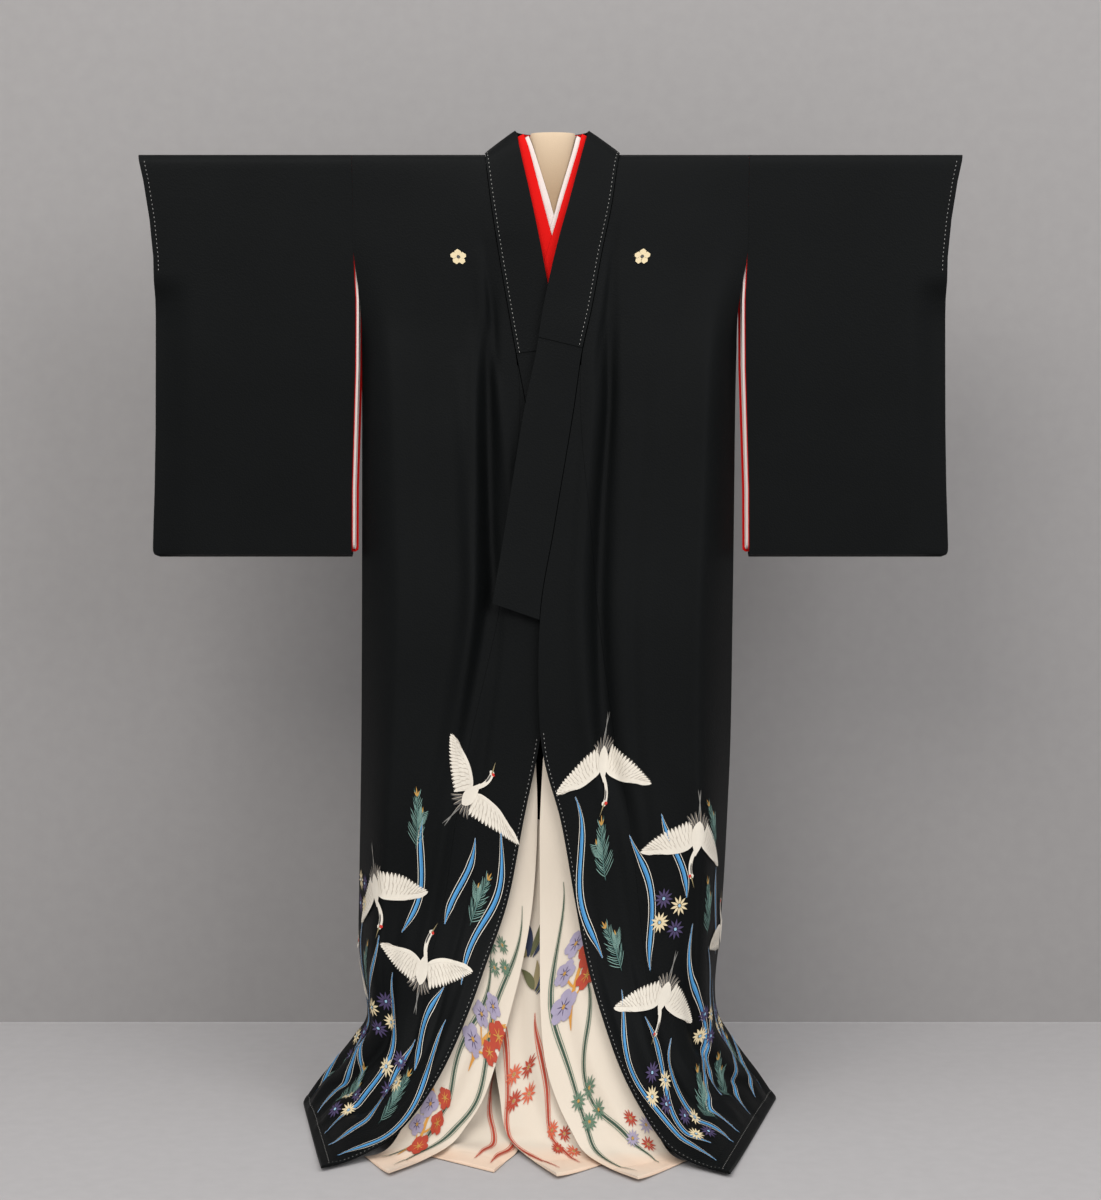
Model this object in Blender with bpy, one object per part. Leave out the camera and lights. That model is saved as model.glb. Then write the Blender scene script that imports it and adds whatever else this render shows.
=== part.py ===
# Wedding kimono on a display stand
# Metres, +Z up, front towards -Y. Right and left are the wearer's, so right lies at -X.

import math

import bpy
from mathutils import Vector

for old in list(bpy.data.objects):
    bpy.data.objects.remove(old, do_unlink=True)

# Driving dimensions
SHOULDER_Z = 1.482
CLOTH = 0.0016
SEAM_GAP = 0.0003
LAYER_GAP = 0.0004
SHOULDER_FOLD_R = 0.0165

SLEEVE_BOTTOM_Z = 0.853
SLEEVE_CUFF_LOW_Z = 1.270
SLEEVE_CLOSED_HALF = 0.0028

COLLAR_THICK = 0.0030
OVERCOLLAR_THICK = 0.0014
COLLAR_LIFT = 0.0012
OVERCOLLAR_SKIP = 4

ROD_R = 0.0095
ROD_Z = SHOULDER_Z - 3 * CLOTH - 3 * LAYER_GAP - ROD_R
ROD_END_X = 0.600
POST_R = 0.014
BASE_R = 0.140
BASE_THICK = 0.012
BASE_EDGE = 0.003
NECK_HALF_X = 0.0335
NECK_AT_ARM = 0.972
NECK_X = 0.003
NECK_HALF_Y = 0.0210
NECK_Y = 0.004
NECK_LOW_Z = 1.300
NECK_TOP_Z = 1.516

BLACK = (0.009, 0.010, 0.010)
RED = (0.55, 0.012, 0.008)
WHITE = (0.87, 0.78, 0.73)
CREAM = (0.82, 0.72, 0.58)
BEIGE = (0.74, 0.58, 0.42)
IRON = (0.05, 0.05, 0.055)

# Wearer's right front, seen at the left: side seam and front edge at each section, from the shoulder down.
# round: 1 where the section is flat with a rounded side, 0 where it runs straight to the floor.
# Columns: side x, y, z, edge x, y, z, round
RIGHT_FRONT = [
    (-0.3100, -0.0002, 1.4820, -0.1025, -0.0002, 1.4820, 0.0),
    (-0.3098, -0.0117, 1.4772, -0.1015, -0.0130, 1.4760, 0.0),
    (-0.3095, -0.0165, 1.4650, -0.1000, -0.0195, 1.4600, 0.0),
    (-0.3082, -0.0170, 1.4000, -0.0925, -0.0260, 1.4000, 0.0),
    (-0.3066, -0.0170, 1.3250, -0.0810, -0.0285, 1.3250, 0.2),
    (-0.2960, -0.0120, 1.2400, -0.0665, -0.0300, 1.2400, 0.6),
    (-0.2952, -0.0010, 1.1700, -0.0540, -0.0330, 1.1700, 0.9),
    (-0.2950, -0.0002, 1.0740, -0.0360, -0.0380, 1.0740, 1.0),
    (-0.2950, -0.0002, 0.9000, -0.0100, -0.0500, 0.9000, 1.0),
    (-0.2952, -0.0002, 0.7600, 0.0100, -0.0640, 0.7600, 1.0),
    (-0.2960, -0.0002, 0.5770, -0.0160, -0.0820, 0.5770, 1.0),
    (-0.2975, -0.0010, 0.4600, -0.0410, -0.0980, 0.4550, 1.0),
    (-0.2990, -0.0050, 0.3400, -0.0640, -0.1180, 0.3390, 0.9),
    (-0.2992, -0.0100, 0.2500, -0.0960, -0.1500, 0.2500, 0.8),
    (-0.2900, -0.0150, 0.1850, -0.1240, -0.1900, 0.1800, 0.6),
    (-0.2860, -0.0180, 0.1400, -0.1550, -0.2350, 0.1180, 0.45),
    (-0.3050, -0.0190, 0.1100, -0.1900, -0.2700, 0.0680, 0.30),
    (-0.3300, -0.0190, 0.0780, -0.2250, -0.2920, 0.0340, 0.15),
    (-0.3570, -0.0180, 0.0450, -0.2620, -0.3050, 0.0140, 0.0),
    (-0.3770, -0.0170, 0.0170, -0.2950, -0.3280, 0.0065, 0.0),
    (-0.3850, -0.0160, 0.0016, -0.3240, -0.3510, 0.0060, 0.0),
]

# Wearer's left front, seen at the right, with the same columns. It lies over the other front.
LEFT_FRONT = [
    (0.3100, -0.0002, 1.4820, 0.1088, -0.0002, 1.4820, 0.0),
    (0.3098, -0.0117, 1.4772, 0.1070, -0.0130, 1.4760, 0.0),
    (0.3095, -0.0165, 1.4650, 0.1040, -0.0205, 1.4600, 0.0),
    (0.3082, -0.0170, 1.4000, 0.0955, -0.0300, 1.4000, 0.0),
    (0.3066, -0.0170, 1.3250, 0.0800, -0.0370, 1.3250, 0.2),
    (0.2930, -0.0120, 1.2400, 0.0645, -0.0440, 1.2400, 0.6),
    (0.2910, -0.0010, 1.1700, 0.0490, -0.0480, 1.1700, 0.9),
    (0.2890, -0.0002, 1.0740, 0.0350, -0.0540, 1.0740, 1.0),
    (0.2870, -0.0002, 0.9000, 0.0060, -0.0670, 0.9000, 1.0),
    (0.2850, -0.0002, 0.7600, -0.0160, -0.0800, 0.7600, 1.0),
    (0.2820, -0.0002, 0.5770, -0.0145, -0.0960, 0.5770, 1.0),
    (0.2770, 0.0010, 0.4550, 0.0160, -0.1120, 0.4550, 1.0),
    (0.2710, 0.0030, 0.3400, 0.0370, -0.1320, 0.3390, 0.9),
    (0.2640, 0.0050, 0.2500, 0.0550, -0.1580, 0.2500, 0.8),
    (0.2580, 0.0060, 0.1850, 0.0780, -0.1980, 0.1770, 0.6),
    (0.2620, 0.0070, 0.1400, 0.1030, -0.2400, 0.1150, 0.45),
    (0.2780, 0.0080, 0.1100, 0.1320, -0.2800, 0.0670, 0.30),
    (0.3000, 0.0090, 0.0780, 0.1620, -0.3120, 0.0300, 0.15),
    (0.3250, 0.0100, 0.0450, 0.1930, -0.3320, 0.0120, 0.0),
    (0.3440, 0.0110, 0.0170, 0.2250, -0.3560, 0.0065, 0.0),
    (0.3540, 0.0120, 0.0016, 0.2515, -0.3775, 0.0060, 0.0),
]

# Back: centre-back point at the heights of the fronts' sections; its sides are the side seams.
# Columns: centre y, z, round
BACK_CENTRE = [
    (0.0360, 1.4550, 0.0),
    (0.0362, 1.4480, 0.0),
    (0.0364, 1.4380, 0.0),
    (0.0370, 1.3900, 0.0),
    (0.0375, 1.3200, 0.3),
    (0.0380, 1.2400, 0.7),
    (0.0390, 1.1700, 0.9),
    (0.0400, 1.0740, 1.0),
    (0.0440, 0.9000, 1.0),
    (0.0500, 0.7600, 1.0),
    (0.0620, 0.5770, 1.0),
    (0.0760, 0.4500, 1.0),
    (0.0980, 0.3300, 1.0),
    (0.1220, 0.2450, 0.9),
    (0.1480, 0.1800, 0.8),
    (0.1760, 0.1300, 0.7),
    (0.2020, 0.0900, 0.6),
    (0.2260, 0.0580, 0.5),
    (0.2480, 0.0320, 0.5),
    (0.2660, 0.0130, 0.5),
    (0.2800, 0.0016, 0.5),
]

# Soft folds of each panel: a trough has depth over 0, a ridge has depth under 0.
# Columns: panel, u and v of the upper end, u and v of the lower end, depth, half width across (u)
FOLDS = [
    ("right_front", 0.80, 0.20, 0.66, 0.62, 0.0070, 0.060),
    ("right_front", 0.64, 0.30, 0.46, 0.74, -0.0060, 0.080),
    ("right_front", 0.30, 0.52, 0.24, 0.93, 0.0110, 0.070),
    ("right_front", 0.16, 0.62, 0.12, 0.97, -0.0080, 0.050),
    ("right_front", 0.55, 0.64, 0.58, 0.95, 0.0090, 0.070),
    ("left_front", 0.84, 0.22, 0.60, 0.60, 0.0060, 0.055),
    ("left_front", 0.60, 0.34, 0.44, 0.76, -0.0060, 0.080),
    ("left_front", 0.28, 0.52, 0.22, 0.92, 0.0100, 0.070),
    ("left_front", 0.12, 0.64, 0.10, 0.97, -0.0070, 0.050),
    ("left_front", 0.52, 0.66, 0.56, 0.94, 0.0080, 0.070),
    ("back", 0.16, 0.36, 0.12, 0.95, 0.0100, 0.050),
    ("back", 0.30, 0.44, 0.28, 0.92, -0.0090, 0.055),
    ("back", 0.44, 0.34, 0.42, 0.96, 0.0080, 0.045),
    ("back", 0.62, 0.40, 0.64, 0.94, -0.0090, 0.055),
    ("back", 0.76, 0.30, 0.80, 0.92, 0.0100, 0.050),
    ("back", 0.90, 0.50, 0.91, 0.95, -0.0060, 0.040),
]

# Free edge of each outer collar at the sections of its front, from the shoulder to the collar's end
# Columns: x, y, z
COLLAR_LEFT_EDGE = [
    (0.0587, -0.0020, 1.5180),
    (0.0560, -0.0120, 1.5080),
    (0.0505, -0.0220, 1.4880),
    (0.0300, -0.0330, 1.4110),
    (0.0080, -0.0400, 1.3300),
    (-0.0110, -0.0450, 1.2420),
    (-0.0220, -0.0490, 1.1720),
    (-0.0420, -0.0550, 1.0740),
    (-0.0700, -0.0670, 0.9000),
    (-0.0890, -0.0780, 0.7850),
]
COLLAR_RIGHT_EDGE = [
    (-0.0540, -0.0020, 1.5180),
    (-0.0510, -0.0110, 1.5080),
    (-0.0475, -0.0200, 1.4880),
    (-0.0300, -0.0270, 1.4110),
    (-0.0135, -0.0300, 1.3300),
    (0.0020, -0.0320, 1.2420),
    (0.0140, -0.0350, 1.1720),
    (0.0310, -0.0400, 1.0740),
    (0.0520, -0.0515, 0.9000),
    (0.0690, -0.0650, 0.7700),
]

# Free edge of the outer collar round the back of the neck, between the shoulders
# Columns: share of the neckline from right to left, x, y, z
COLLAR_NECK_EDGE = [
    (0.16, -0.0500, 0.0230, 1.5190),
    (0.33, -0.0320, 0.0450, 1.5190),
    (0.50, 0.0015, 0.0540, 1.5190),
    (0.67, 0.0360, 0.0450, 1.5190),
    (0.84, 0.0545, 0.0230, 1.5190),
]

# Collars of the layers below, from the wearer's right round the neck to the left
# Columns: free edge x, y, z, hidden edge x, y, z
MIDDLE_COLLAR = [
    (0.0245, -0.0240, 1.2700, 0.0005, -0.0240, 1.2700),
    (0.0023, -0.0240, 1.3530, -0.0217, -0.0240, 1.3530),
    (-0.0130, -0.0235, 1.4110, -0.0370, -0.0230, 1.4050),
    (-0.0325, -0.0165, 1.4860, -0.0550, -0.0160, 1.4740),
    (-0.0400, -0.0090, 1.5080, -0.0620, -0.0085, 1.4950),
    (-0.0425, 0.0000, 1.5150, -0.0650, 0.0000, 1.5020),
    (-0.0400, 0.0200, 1.5160, -0.0480, 0.0190, 1.4920),
    (-0.0260, 0.0385, 1.5170, -0.0300, 0.0340, 1.4890),
    (0.0015, 0.0470, 1.5170, 0.0015, 0.0400, 1.4890),
    (0.0300, 0.0385, 1.5170, 0.0340, 0.0340, 1.4890),
    (0.0460, 0.0200, 1.5160, 0.0540, 0.0190, 1.4920),
    (0.0500, 0.0000, 1.5150, 0.0720, 0.0000, 1.5020),
    (0.0475, -0.0090, 1.5080, 0.0690, -0.0085, 1.4950),
    (0.0420, -0.0170, 1.4860, 0.0640, -0.0165, 1.4740),
    (0.0196, -0.0260, 1.4110, 0.0436, -0.0260, 1.4050),
    (0.0023, -0.0264, 1.3530, 0.0263, -0.0264, 1.3530),
    (-0.0225, -0.0264, 1.2700, 0.0015, -0.0264, 1.2700),
]
INNER_COLLAR = [
    (0.0290, -0.0194, 1.3100, 0.0060, -0.0194, 1.3100),
    (0.0055, -0.0194, 1.3850, -0.0185, -0.0194, 1.3850),
    (-0.0030, -0.0190, 1.4150, -0.0270, -0.0190, 1.4080),
    (-0.0245, -0.0136, 1.4840, -0.0450, -0.0130, 1.4720),
    (-0.0320, -0.0080, 1.5050, -0.0520, -0.0075, 1.4920),
    (-0.0345, 0.0000, 1.5120, -0.0560, 0.0000, 1.4985),
    (-0.0330, 0.0170, 1.5130, -0.0380, 0.0160, 1.4920),
    (-0.0220, 0.0330, 1.5140, -0.0240, 0.0290, 1.4900),
    (0.0015, 0.0400, 1.5140, 0.0015, 0.0345, 1.4900),
    (0.0260, 0.0330, 1.5140, 0.0280, 0.0290, 1.4900),
    (0.0390, 0.0170, 1.5130, 0.0440, 0.0160, 1.4920),
    (0.0420, 0.0000, 1.5120, 0.0630, 0.0000, 1.4985),
    (0.0395, -0.0080, 1.5050, 0.0590, -0.0075, 1.4920),
    (0.0340, -0.0138, 1.4840, 0.0540, -0.0136, 1.4720),
    (0.0135, -0.0214, 1.4150, 0.0370, -0.0214, 1.4080),
    (0.0055, -0.0216, 1.3850, 0.0295, -0.0216, 1.3850),
    (-0.0170, -0.0216, 1.3100, 0.0060, -0.0216, 1.3100),
]

# Front edges of the layers below, each from its hidden top to the tip of its hem.
# first: section of the outer front at which the table starts
# behind: how far behind the panel above it its hidden side starts
# over_u: how far across the panel above it the hidden side lies; over_v: how far down that panel its hem meets it
# Columns: x, y, z
MIDDLE_FRONT_RIGHT = {"first": 9, "behind": 0.0075, "over_u": (0.80, 0.93), "over_v": 0.90, "edge": [
    (-0.0300, -0.0520, 0.7400),
    (-0.0240, -0.0700, 0.5770),
    (-0.0200, -0.0840, 0.4550),
    (-0.0265, -0.1000, 0.3390),
    (-0.0415, -0.1280, 0.2500),
    (-0.0600, -0.1600, 0.1800),
    (-0.0790, -0.1980, 0.1180),
    (-0.0990, -0.2300, 0.0680),
    (-0.1240, -0.2520, 0.0340),
    (-0.1450, -0.2680, 0.0140),
    (-0.1850, -0.3180, 0.0060),
    (-0.2266, -0.3730, 0.0060),
]}
MIDDLE_FRONT_LEFT = {"first": 10, "behind": 0.0075, "over_u": (0.90, 0.93), "over_v": 0.89, "edge": [
    (-0.0100, -0.0780, 0.5700),
    (-0.0160, -0.0940, 0.4550),
    (-0.0160, -0.1080, 0.3390),
    (-0.0160, -0.1330, 0.2500),
    (-0.0145, -0.1670, 0.1770),
    (-0.0075, -0.2030, 0.1150),
    (0.0100, -0.2370, 0.0670),
    (0.0320, -0.2750, 0.0320),
    (0.0495, -0.3000, 0.0120),
    (0.0840, -0.3510, 0.0060),
    (0.1220, -0.3995, 0.0060),
]}
INNER_FRONT_LEFT = {"first": 11, "behind": 0.0075, "over_u": (0.62, 0.82), "over_v": 0.92, "edge": [
    (-0.0400, -0.0680, 0.4550),
    (-0.0500, -0.0830, 0.3390),
    (-0.0660, -0.1080, 0.2500),
    (-0.0780, -0.1400, 0.1780),
    (-0.0830, -0.1750, 0.1160),
    (-0.0745, -0.2070, 0.0640),
    (-0.0680, -0.2360, 0.0320),
    (-0.0560, -0.2520, 0.0120),
    (-0.0250, -0.3150, 0.0060),
    (0.0090, -0.3860, 0.0060),
]}
INNER_FRONT_RIGHT = {"first": 15, "behind": 0.024, "over_u": (0.80, 0.84), "over_v": 0.92, "edge": [
    (-0.0640, -0.1050, 0.1160),
    (-0.0500, -0.1580, 0.0640),
    (-0.0460, -0.2080, 0.0300),
    (-0.0470, -0.2560, 0.0040),
    (-0.0650, -0.3100, 0.0018),
    (-0.0797, -0.3550, 0.0016),
]}

# Overlap panel: share of the front's width that is left to the body panel, at each section of the front
OKUMI_FIRST = 7
OKUMI_SEAM = [0.955, 0.80, 0.70, 0.62, 0.60, 0.59, 0.585, 0.58, 0.58, 0.58, 0.58, 0.58, 0.58, 0.58]

# Sleeve's inner and outer end, from the shoulder down
# Columns: z, inner x, outer x
SLEEVE_ENDS = [
    (1.482, 0.3103, 0.6440),
    (1.410, 0.3085, 0.6280),
    (1.320, 0.3069, 0.6190),
    (1.250, 0.3035, 0.6175),
    (1.100, 0.3045, 0.6175),
    (1.000, 0.3095, 0.6180),
    (0.870, 0.3100, 0.6220),
    (0.853, 0.3110, 0.6080),
]

SECTIONS = len(RIGHT_FRONT) - 1
COLLAR_SECTIONS = len(COLLAR_LEFT_EDGE) - 1
SIDE_CLOSED_V = (5 / SECTIONS, 6 / SECTIONS)
NECKLINE_SHARE = 0.34
ROLL_THICK = 0.0032
ROLL_FROM_V = 0.955
STEP = 1e-3
LAYER_REST = 0.0075
HEM_TURN_V = 0.80


def smooth(low, high, value):
    """Soft step from 0 at low to 1 at high, which may lie in either order."""
    t = min(1.0, max(0.0, (value - low) / (high - low)))
    return t * t * (3 - 2 * t)


def sample(table, position):
    """Row of the table at a position counted in rows, on a smooth curve through them."""
    last = len(table) - 1
    position = min(max(position, 0.0), float(last))
    i = min(int(position), last - 1)
    t = position - i
    a, b, c, d = (table[min(max(k, 0), last)] for k in (i - 1, i, i + 1, i + 2))
    return [
        0.5 * (2 * q + (r - p) * t + (2 * p - 5 * q + 4 * r - s) * t ** 2 + (3 * q - p - 3 * r + s) * t ** 3)
        for p, q, r, s in zip(a, b, c, d)
    ]


def line(table, position):
    """Row of the table at a position counted in rows, on straight lines between them."""
    last = len(table) - 1
    position = min(max(position, 0.0), float(last))
    i = min(int(position), last - 1)
    t = position - i
    return [p + (q - p) * t for p, q in zip(table[i], table[i + 1])]


def front_base(table, u, v):
    sx, sy, sz, ex, ey, ez, rounded = sample(table, v * SECTIONS)
    depth = (1 - rounded) * u + rounded * math.sin(math.pi / 2 * min(1.0, u / 0.22))
    rise = u ** (1 + 5 * smooth(0.86, 0.97, v))
    return Vector((sx + (ex - sx) * u, sy + (ey - sy) * depth, sz + (ez - sz) * rise))


def side_open(v):
    return 1 - smooth(SIDE_CLOSED_V[0], SIDE_CLOSED_V[1], v)


def back_base(u, v):
    right = sample(RIGHT_FRONT, v * SECTIONS)
    left = sample(LEFT_FRONT, v * SECTIONS)
    cy, cz, rounded = sample(BACK_CENTRE, v * SECTIONS)
    side = [a + (b - a) * u for a, b in zip(right, left)]
    gap = 2 * 0.0002
    y = side[1] + gap - 2 * side_open(v) * side[1]
    across = abs(2 * u - 1)
    dip = 1 - min(1.0, across / NECKLINE_SHARE) ** 2
    full = 1 - across ** (2 + 2 * rounded)
    share = dip + (full - dip) * smooth(0, 0.2, v)
    return Vector((side[0], y + (cy - y) * share, side[2] + (cz - side[2]) * share))


def fold_depth(panel, u, v):
    depth = 0.0
    for name, u0, v0, u1, v1, size, width in FOLDS:
        if name != panel or not v0 < v < v1:
            continue
        t = (v - v0) / (v1 - v0)
        across = (u - u0 - (u1 - u0) * t) / width
        depth += size * math.exp(-across * across) * math.sin(math.pi * t)
    return depth


def normal_of(surface, u, v, facing):
    low_u, high_u = max(0.0, u - STEP), min(1.0, u + STEP)
    low_v, high_v = max(0.0, v - STEP), min(1.0, v + STEP)
    across = surface(high_u, v) - surface(low_u, v)
    down = surface(u, high_v) - surface(u, low_v)
    return across.cross(down).normalized() * facing


BASES = {
    "right_front": (lambda u, v: front_base(RIGHT_FRONT, u, v), -1),
    "left_front": (lambda u, v: front_base(LEFT_FRONT, u, v), 1),
    "back": (back_base, 1),
}


def panel_point(panel, u, v):
    """Outer face of a body panel, with its folds."""
    base, facing = BASES[panel]
    point = base(u, v)
    depth = fold_depth(panel, u, v)
    if abs(depth) > 1e-5:
        point = point - normal_of(base, u, v, facing) * depth
    return point


def panel_normal(panel, u, v):
    facing = BASES[panel][1]
    normal = normal_of(lambda a, b: panel_point(panel, a, b), u, v, facing)
    if v == 0:
        return Vector((0, 0, 1))
    at_side = u == 0 or (panel == "back" and u == 1)
    if at_side:
        normal.y *= side_open(v)
    return normal.normalized()


def add_object(name, vertices, faces, colour, roughness=0.8, metallic=0.0):
    mesh = bpy.data.meshes.new(name)
    mesh.from_pydata([tuple(v) for v in vertices], [], faces)
    mesh.validate()
    mesh.update()
    obj = bpy.data.objects.new(name, mesh)
    bpy.context.scene.collection.objects.link(obj)
    material = bpy.data.materials.new(name)
    material.use_nodes = True
    shader = material.node_tree.nodes["Principled BSDF"]
    shader.inputs["Base Color"].default_value = (*colour, 1.0)
    shader.inputs["Roughness"].default_value = roughness
    shader.inputs["Metallic"].default_value = metallic
    mesh.materials.append(material)
    mesh.shade_smooth()
    mesh.set_sharp_from_angle(angle=math.radians(40))
    return obj


def wall(name, outer, inner, colour, closed_across=False):
    """Closed solid between two grids of points, rows down and columns across."""
    rows, columns = len(outer), len(outer[0])
    vertices = [p for grid in (outer, inner) for row in grid for p in row]
    shift = rows * columns
    span = columns if closed_across else columns - 1
    faces = []
    for i in range(rows - 1):
        for j in range(span):
            k = (j + 1) % columns
            a, b, c, d = i * columns + j, i * columns + k, (i + 1) * columns + k, (i + 1) * columns + j
            faces += [(a, b, c), (a, c, d)]
            faces += [(shift + c, shift + b, shift + a), (shift + d, shift + c, shift + a)]
    for j in range(span):
        k = (j + 1) % columns
        base = (rows - 1) * columns
        faces += [(k, j, shift + j), (k, shift + j, shift + k)]
        faces += [(base + j, base + k, shift + base + k), (base + j, shift + base + k, shift + base + j)]
    if not closed_across:
        for i in range(rows - 1):
            a, b = i * columns, (i + 1) * columns
            c, d = a + columns - 1, b + columns - 1
            faces += [(a, b, shift + b), (a, shift + b, shift + a)]
            faces += [(d, c, shift + d), (c, shift + c, shift + d)]
    obj = add_object(name, vertices, faces, colour)
    turn_outwards(obj.data)
    return obj


def turn_outwards(mesh):
    """Flip all faces if the closed mesh has them pointing in."""
    volume = 0.0
    for polygon in mesh.polygons:
        corners = [mesh.vertices[i].co for i in polygon.vertices]
        for second, third in zip(corners[1:-1], corners[2:]):
            volume += corners[0].dot(second.cross(third))
    if volume < 0:
        mesh.flip_normals()


def floor_pair(point, normal, thick):
    """Outer and inner point of a wall, kept above the floor."""
    outer = point.copy()
    outer.z = max(outer.z, thick)
    inner = outer - normal * thick
    inner.z = max(inner.z, 0.0)
    return outer, inner


def roll(u, v, share):
    """Extra thickness of the padded hem."""
    t = (v - ROLL_FROM_V) / (1 - ROLL_FROM_V)
    if t <= 0:
        return 0.0
    return ROLL_THICK * math.sin(math.pi * min(1.0, 0.12 + 0.76 * t)) * share


def panel_wall(name, panel, rows, columns_at, colour):
    outer, inner = [], []
    for v in rows:
        pairs = []
        for u in columns_at(v):
            point = panel_point(panel, u, v)
            normal = panel_normal(panel, u, v)
            low = smooth(0.90, 0.97, v)
            normal = (normal * (1 - low) + Vector((0, 0, 1)) * low).normalized()
            top, under = floor_pair(point, normal, CLOTH)
            pairs.append((top + normal * roll(u, v, 1.0), under))
        outer.append([p for p, _ in pairs])
        inner.append([q for _, q in pairs])
    return wall(name, outer, inner, colour)


ROW_VS = [k / SECTIONS for k in range(SECTIONS)] + [0.965, 0.975, 0.9875, 1.0]
ROW_VS = sorted(set(ROW_VS + [0.475, 0.525, 0.575]))
HALF_SEAM_U = 0.0006


def okumi_share(v):
    position = v * SECTIONS - OKUMI_FIRST
    return sample([(s,) for s in OKUMI_SEAM], position)[0]


def front_columns(v):
    end = 1.0
    if v * SECTIONS >= OKUMI_FIRST - 1:
        start = smooth(OKUMI_FIRST - 1, OKUMI_FIRST, v * SECTIONS)
        end = 1 - (1 - okumi_share(v)) * start - HALF_SEAM_U * start
    shares = (0.0, 0.04, 0.10, 0.18, 0.28, 0.38, 0.50, 0.62, 0.75, 0.88, 1.0)
    return [s * end for s in shares]


def okumi_columns(v):
    start = okumi_share(v) + HALF_SEAM_U
    return [start + (1 - start) * k / 5 for k in range(6)]


def body_panels():
    okumi_rows = [v for v in ROW_VS if v * SECTIONS >= OKUMI_FIRST - 1e-6]
    for side, label in (("right_front", "right"), ("left_front", "left")):
        panel_wall("front_" + label, side, ROW_VS, front_columns, BLACK)
        panel_wall("okumi_" + label, side, okumi_rows, okumi_columns, BLACK)
    half = (0.0, 0.02, 0.05, 0.09, 0.14, 0.20, 0.26, 0.32, 0.36, 0.40, 0.45, 0.5 - HALF_SEAM_U / 2)
    panel_wall("back_right", "back", ROW_VS, lambda v: list(half), BLACK)
    panel_wall("back_left", "back", ROW_VS, lambda v: [1 - u for u in reversed(half)], BLACK)


def under_point(panel, u, v):
    """Front of a lower layer: u is 0 at its hidden side and 1 at its own edge."""
    spec, over, facing = UNDER[panel]
    first = spec["first"] / SECTIONS
    t = (v - first) / (1 - first)
    edge = Vector(sample(spec["edge"], v * SECTIONS - spec["first"]))
    near, far = spec["over_u"]
    over_u = near + (far - near) * smooth(0, 0.35, t)
    over_v = min(v, HEM_TURN_V) + (spec["over_v"] - HEM_TURN_V) * max(0.0, v - HEM_TURN_V) / (1 - HEM_TURN_V)
    if over in BASES:
        point, normal = panel_point(over, over_u, over_v), panel_normal(over, over_u, over_v)
    else:
        point = under_point(over, 1 - over_u * 0.22, over_v)
        normal = normal_of(lambda a, b: under_point(over, a, b), 1 - over_u * 0.22, over_v, facing)
    hidden = point - normal * (spec["behind"] + (LAYER_REST - spec["behind"]) * smooth(0.3, 0.8, t))
    hidden.z = CLOTH + (min(hidden.z, edge.z + 0.01) - CLOTH) * (1 - smooth(0.72, 0.97, t))
    rise = u ** (1 + 3 * smooth(0.86, 0.97, v))
    belly = 0.010 * math.sin(math.pi * u) * (1 - smooth(0.8, 0.97, v))
    point = hidden.lerp(edge, u)
    point.z = hidden.z + (edge.z - hidden.z) * rise
    return point + Vector((0, 0.3 * belly, 0))


UNDER = {
    "middle_front_right": (MIDDLE_FRONT_RIGHT, "right_front", -1),
    "middle_front_left": (MIDDLE_FRONT_LEFT, "left_front", 1),
    "inner_front_right": (INNER_FRONT_RIGHT, "middle_front_right", -1),
    "inner_front_left": (INNER_FRONT_LEFT, "middle_front_left", 1),
}


def under_fronts():
    for name, (spec, over, facing) in UNDER.items():
        rows = [v for v in ROW_VS if v * SECTIONS >= spec["first"] - 1e-6]
        outer, inner = [], []
        for v in rows:
            pairs = []
            for k in range(6):
                u = k / 5
                point = under_point(name, u, v)
                normal = normal_of(lambda a, b: under_point(name, a, b), u, max(v, rows[0] + 2 * STEP), facing)
                low = smooth(0.90, 0.97, v)
                normal = (normal * (1 - low) + Vector((0, 0, 1)) * low).normalized()
                top, under = floor_pair(point, normal, CLOTH)
                pairs.append((top + normal * roll(u, v, smooth(0.1, 0.5, u)), under))
            outer.append([p for p, _ in pairs])
            inner.append([q for _, q in pairs])
        wall(name, outer, inner, CREAM)


def strip(name, lines, thick, lift, colour, parts=3):
    """Band between pairs of lines (edge at the seam, free edge); lift moves it out of their surface."""
    outer, inner = [], []
    count = len(lines)
    for i, (seam, free) in enumerate(lines):
        across = (free - seam).normalized()
        before, after = lines[max(0, i - 1)], lines[min(count - 1, i + 1)]
        along = ((after[0] + after[1]) - (before[0] + before[1])).normalized()
        normal = across.cross(along).normalized()
        row = [seam.lerp(free, k / parts) for k in range(parts + 1)]
        outer.append([p + normal * lift for p in row])
        inner.append([p + normal * (lift - thick) for p in row])
    return wall(name, outer, inner, colour)


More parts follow.
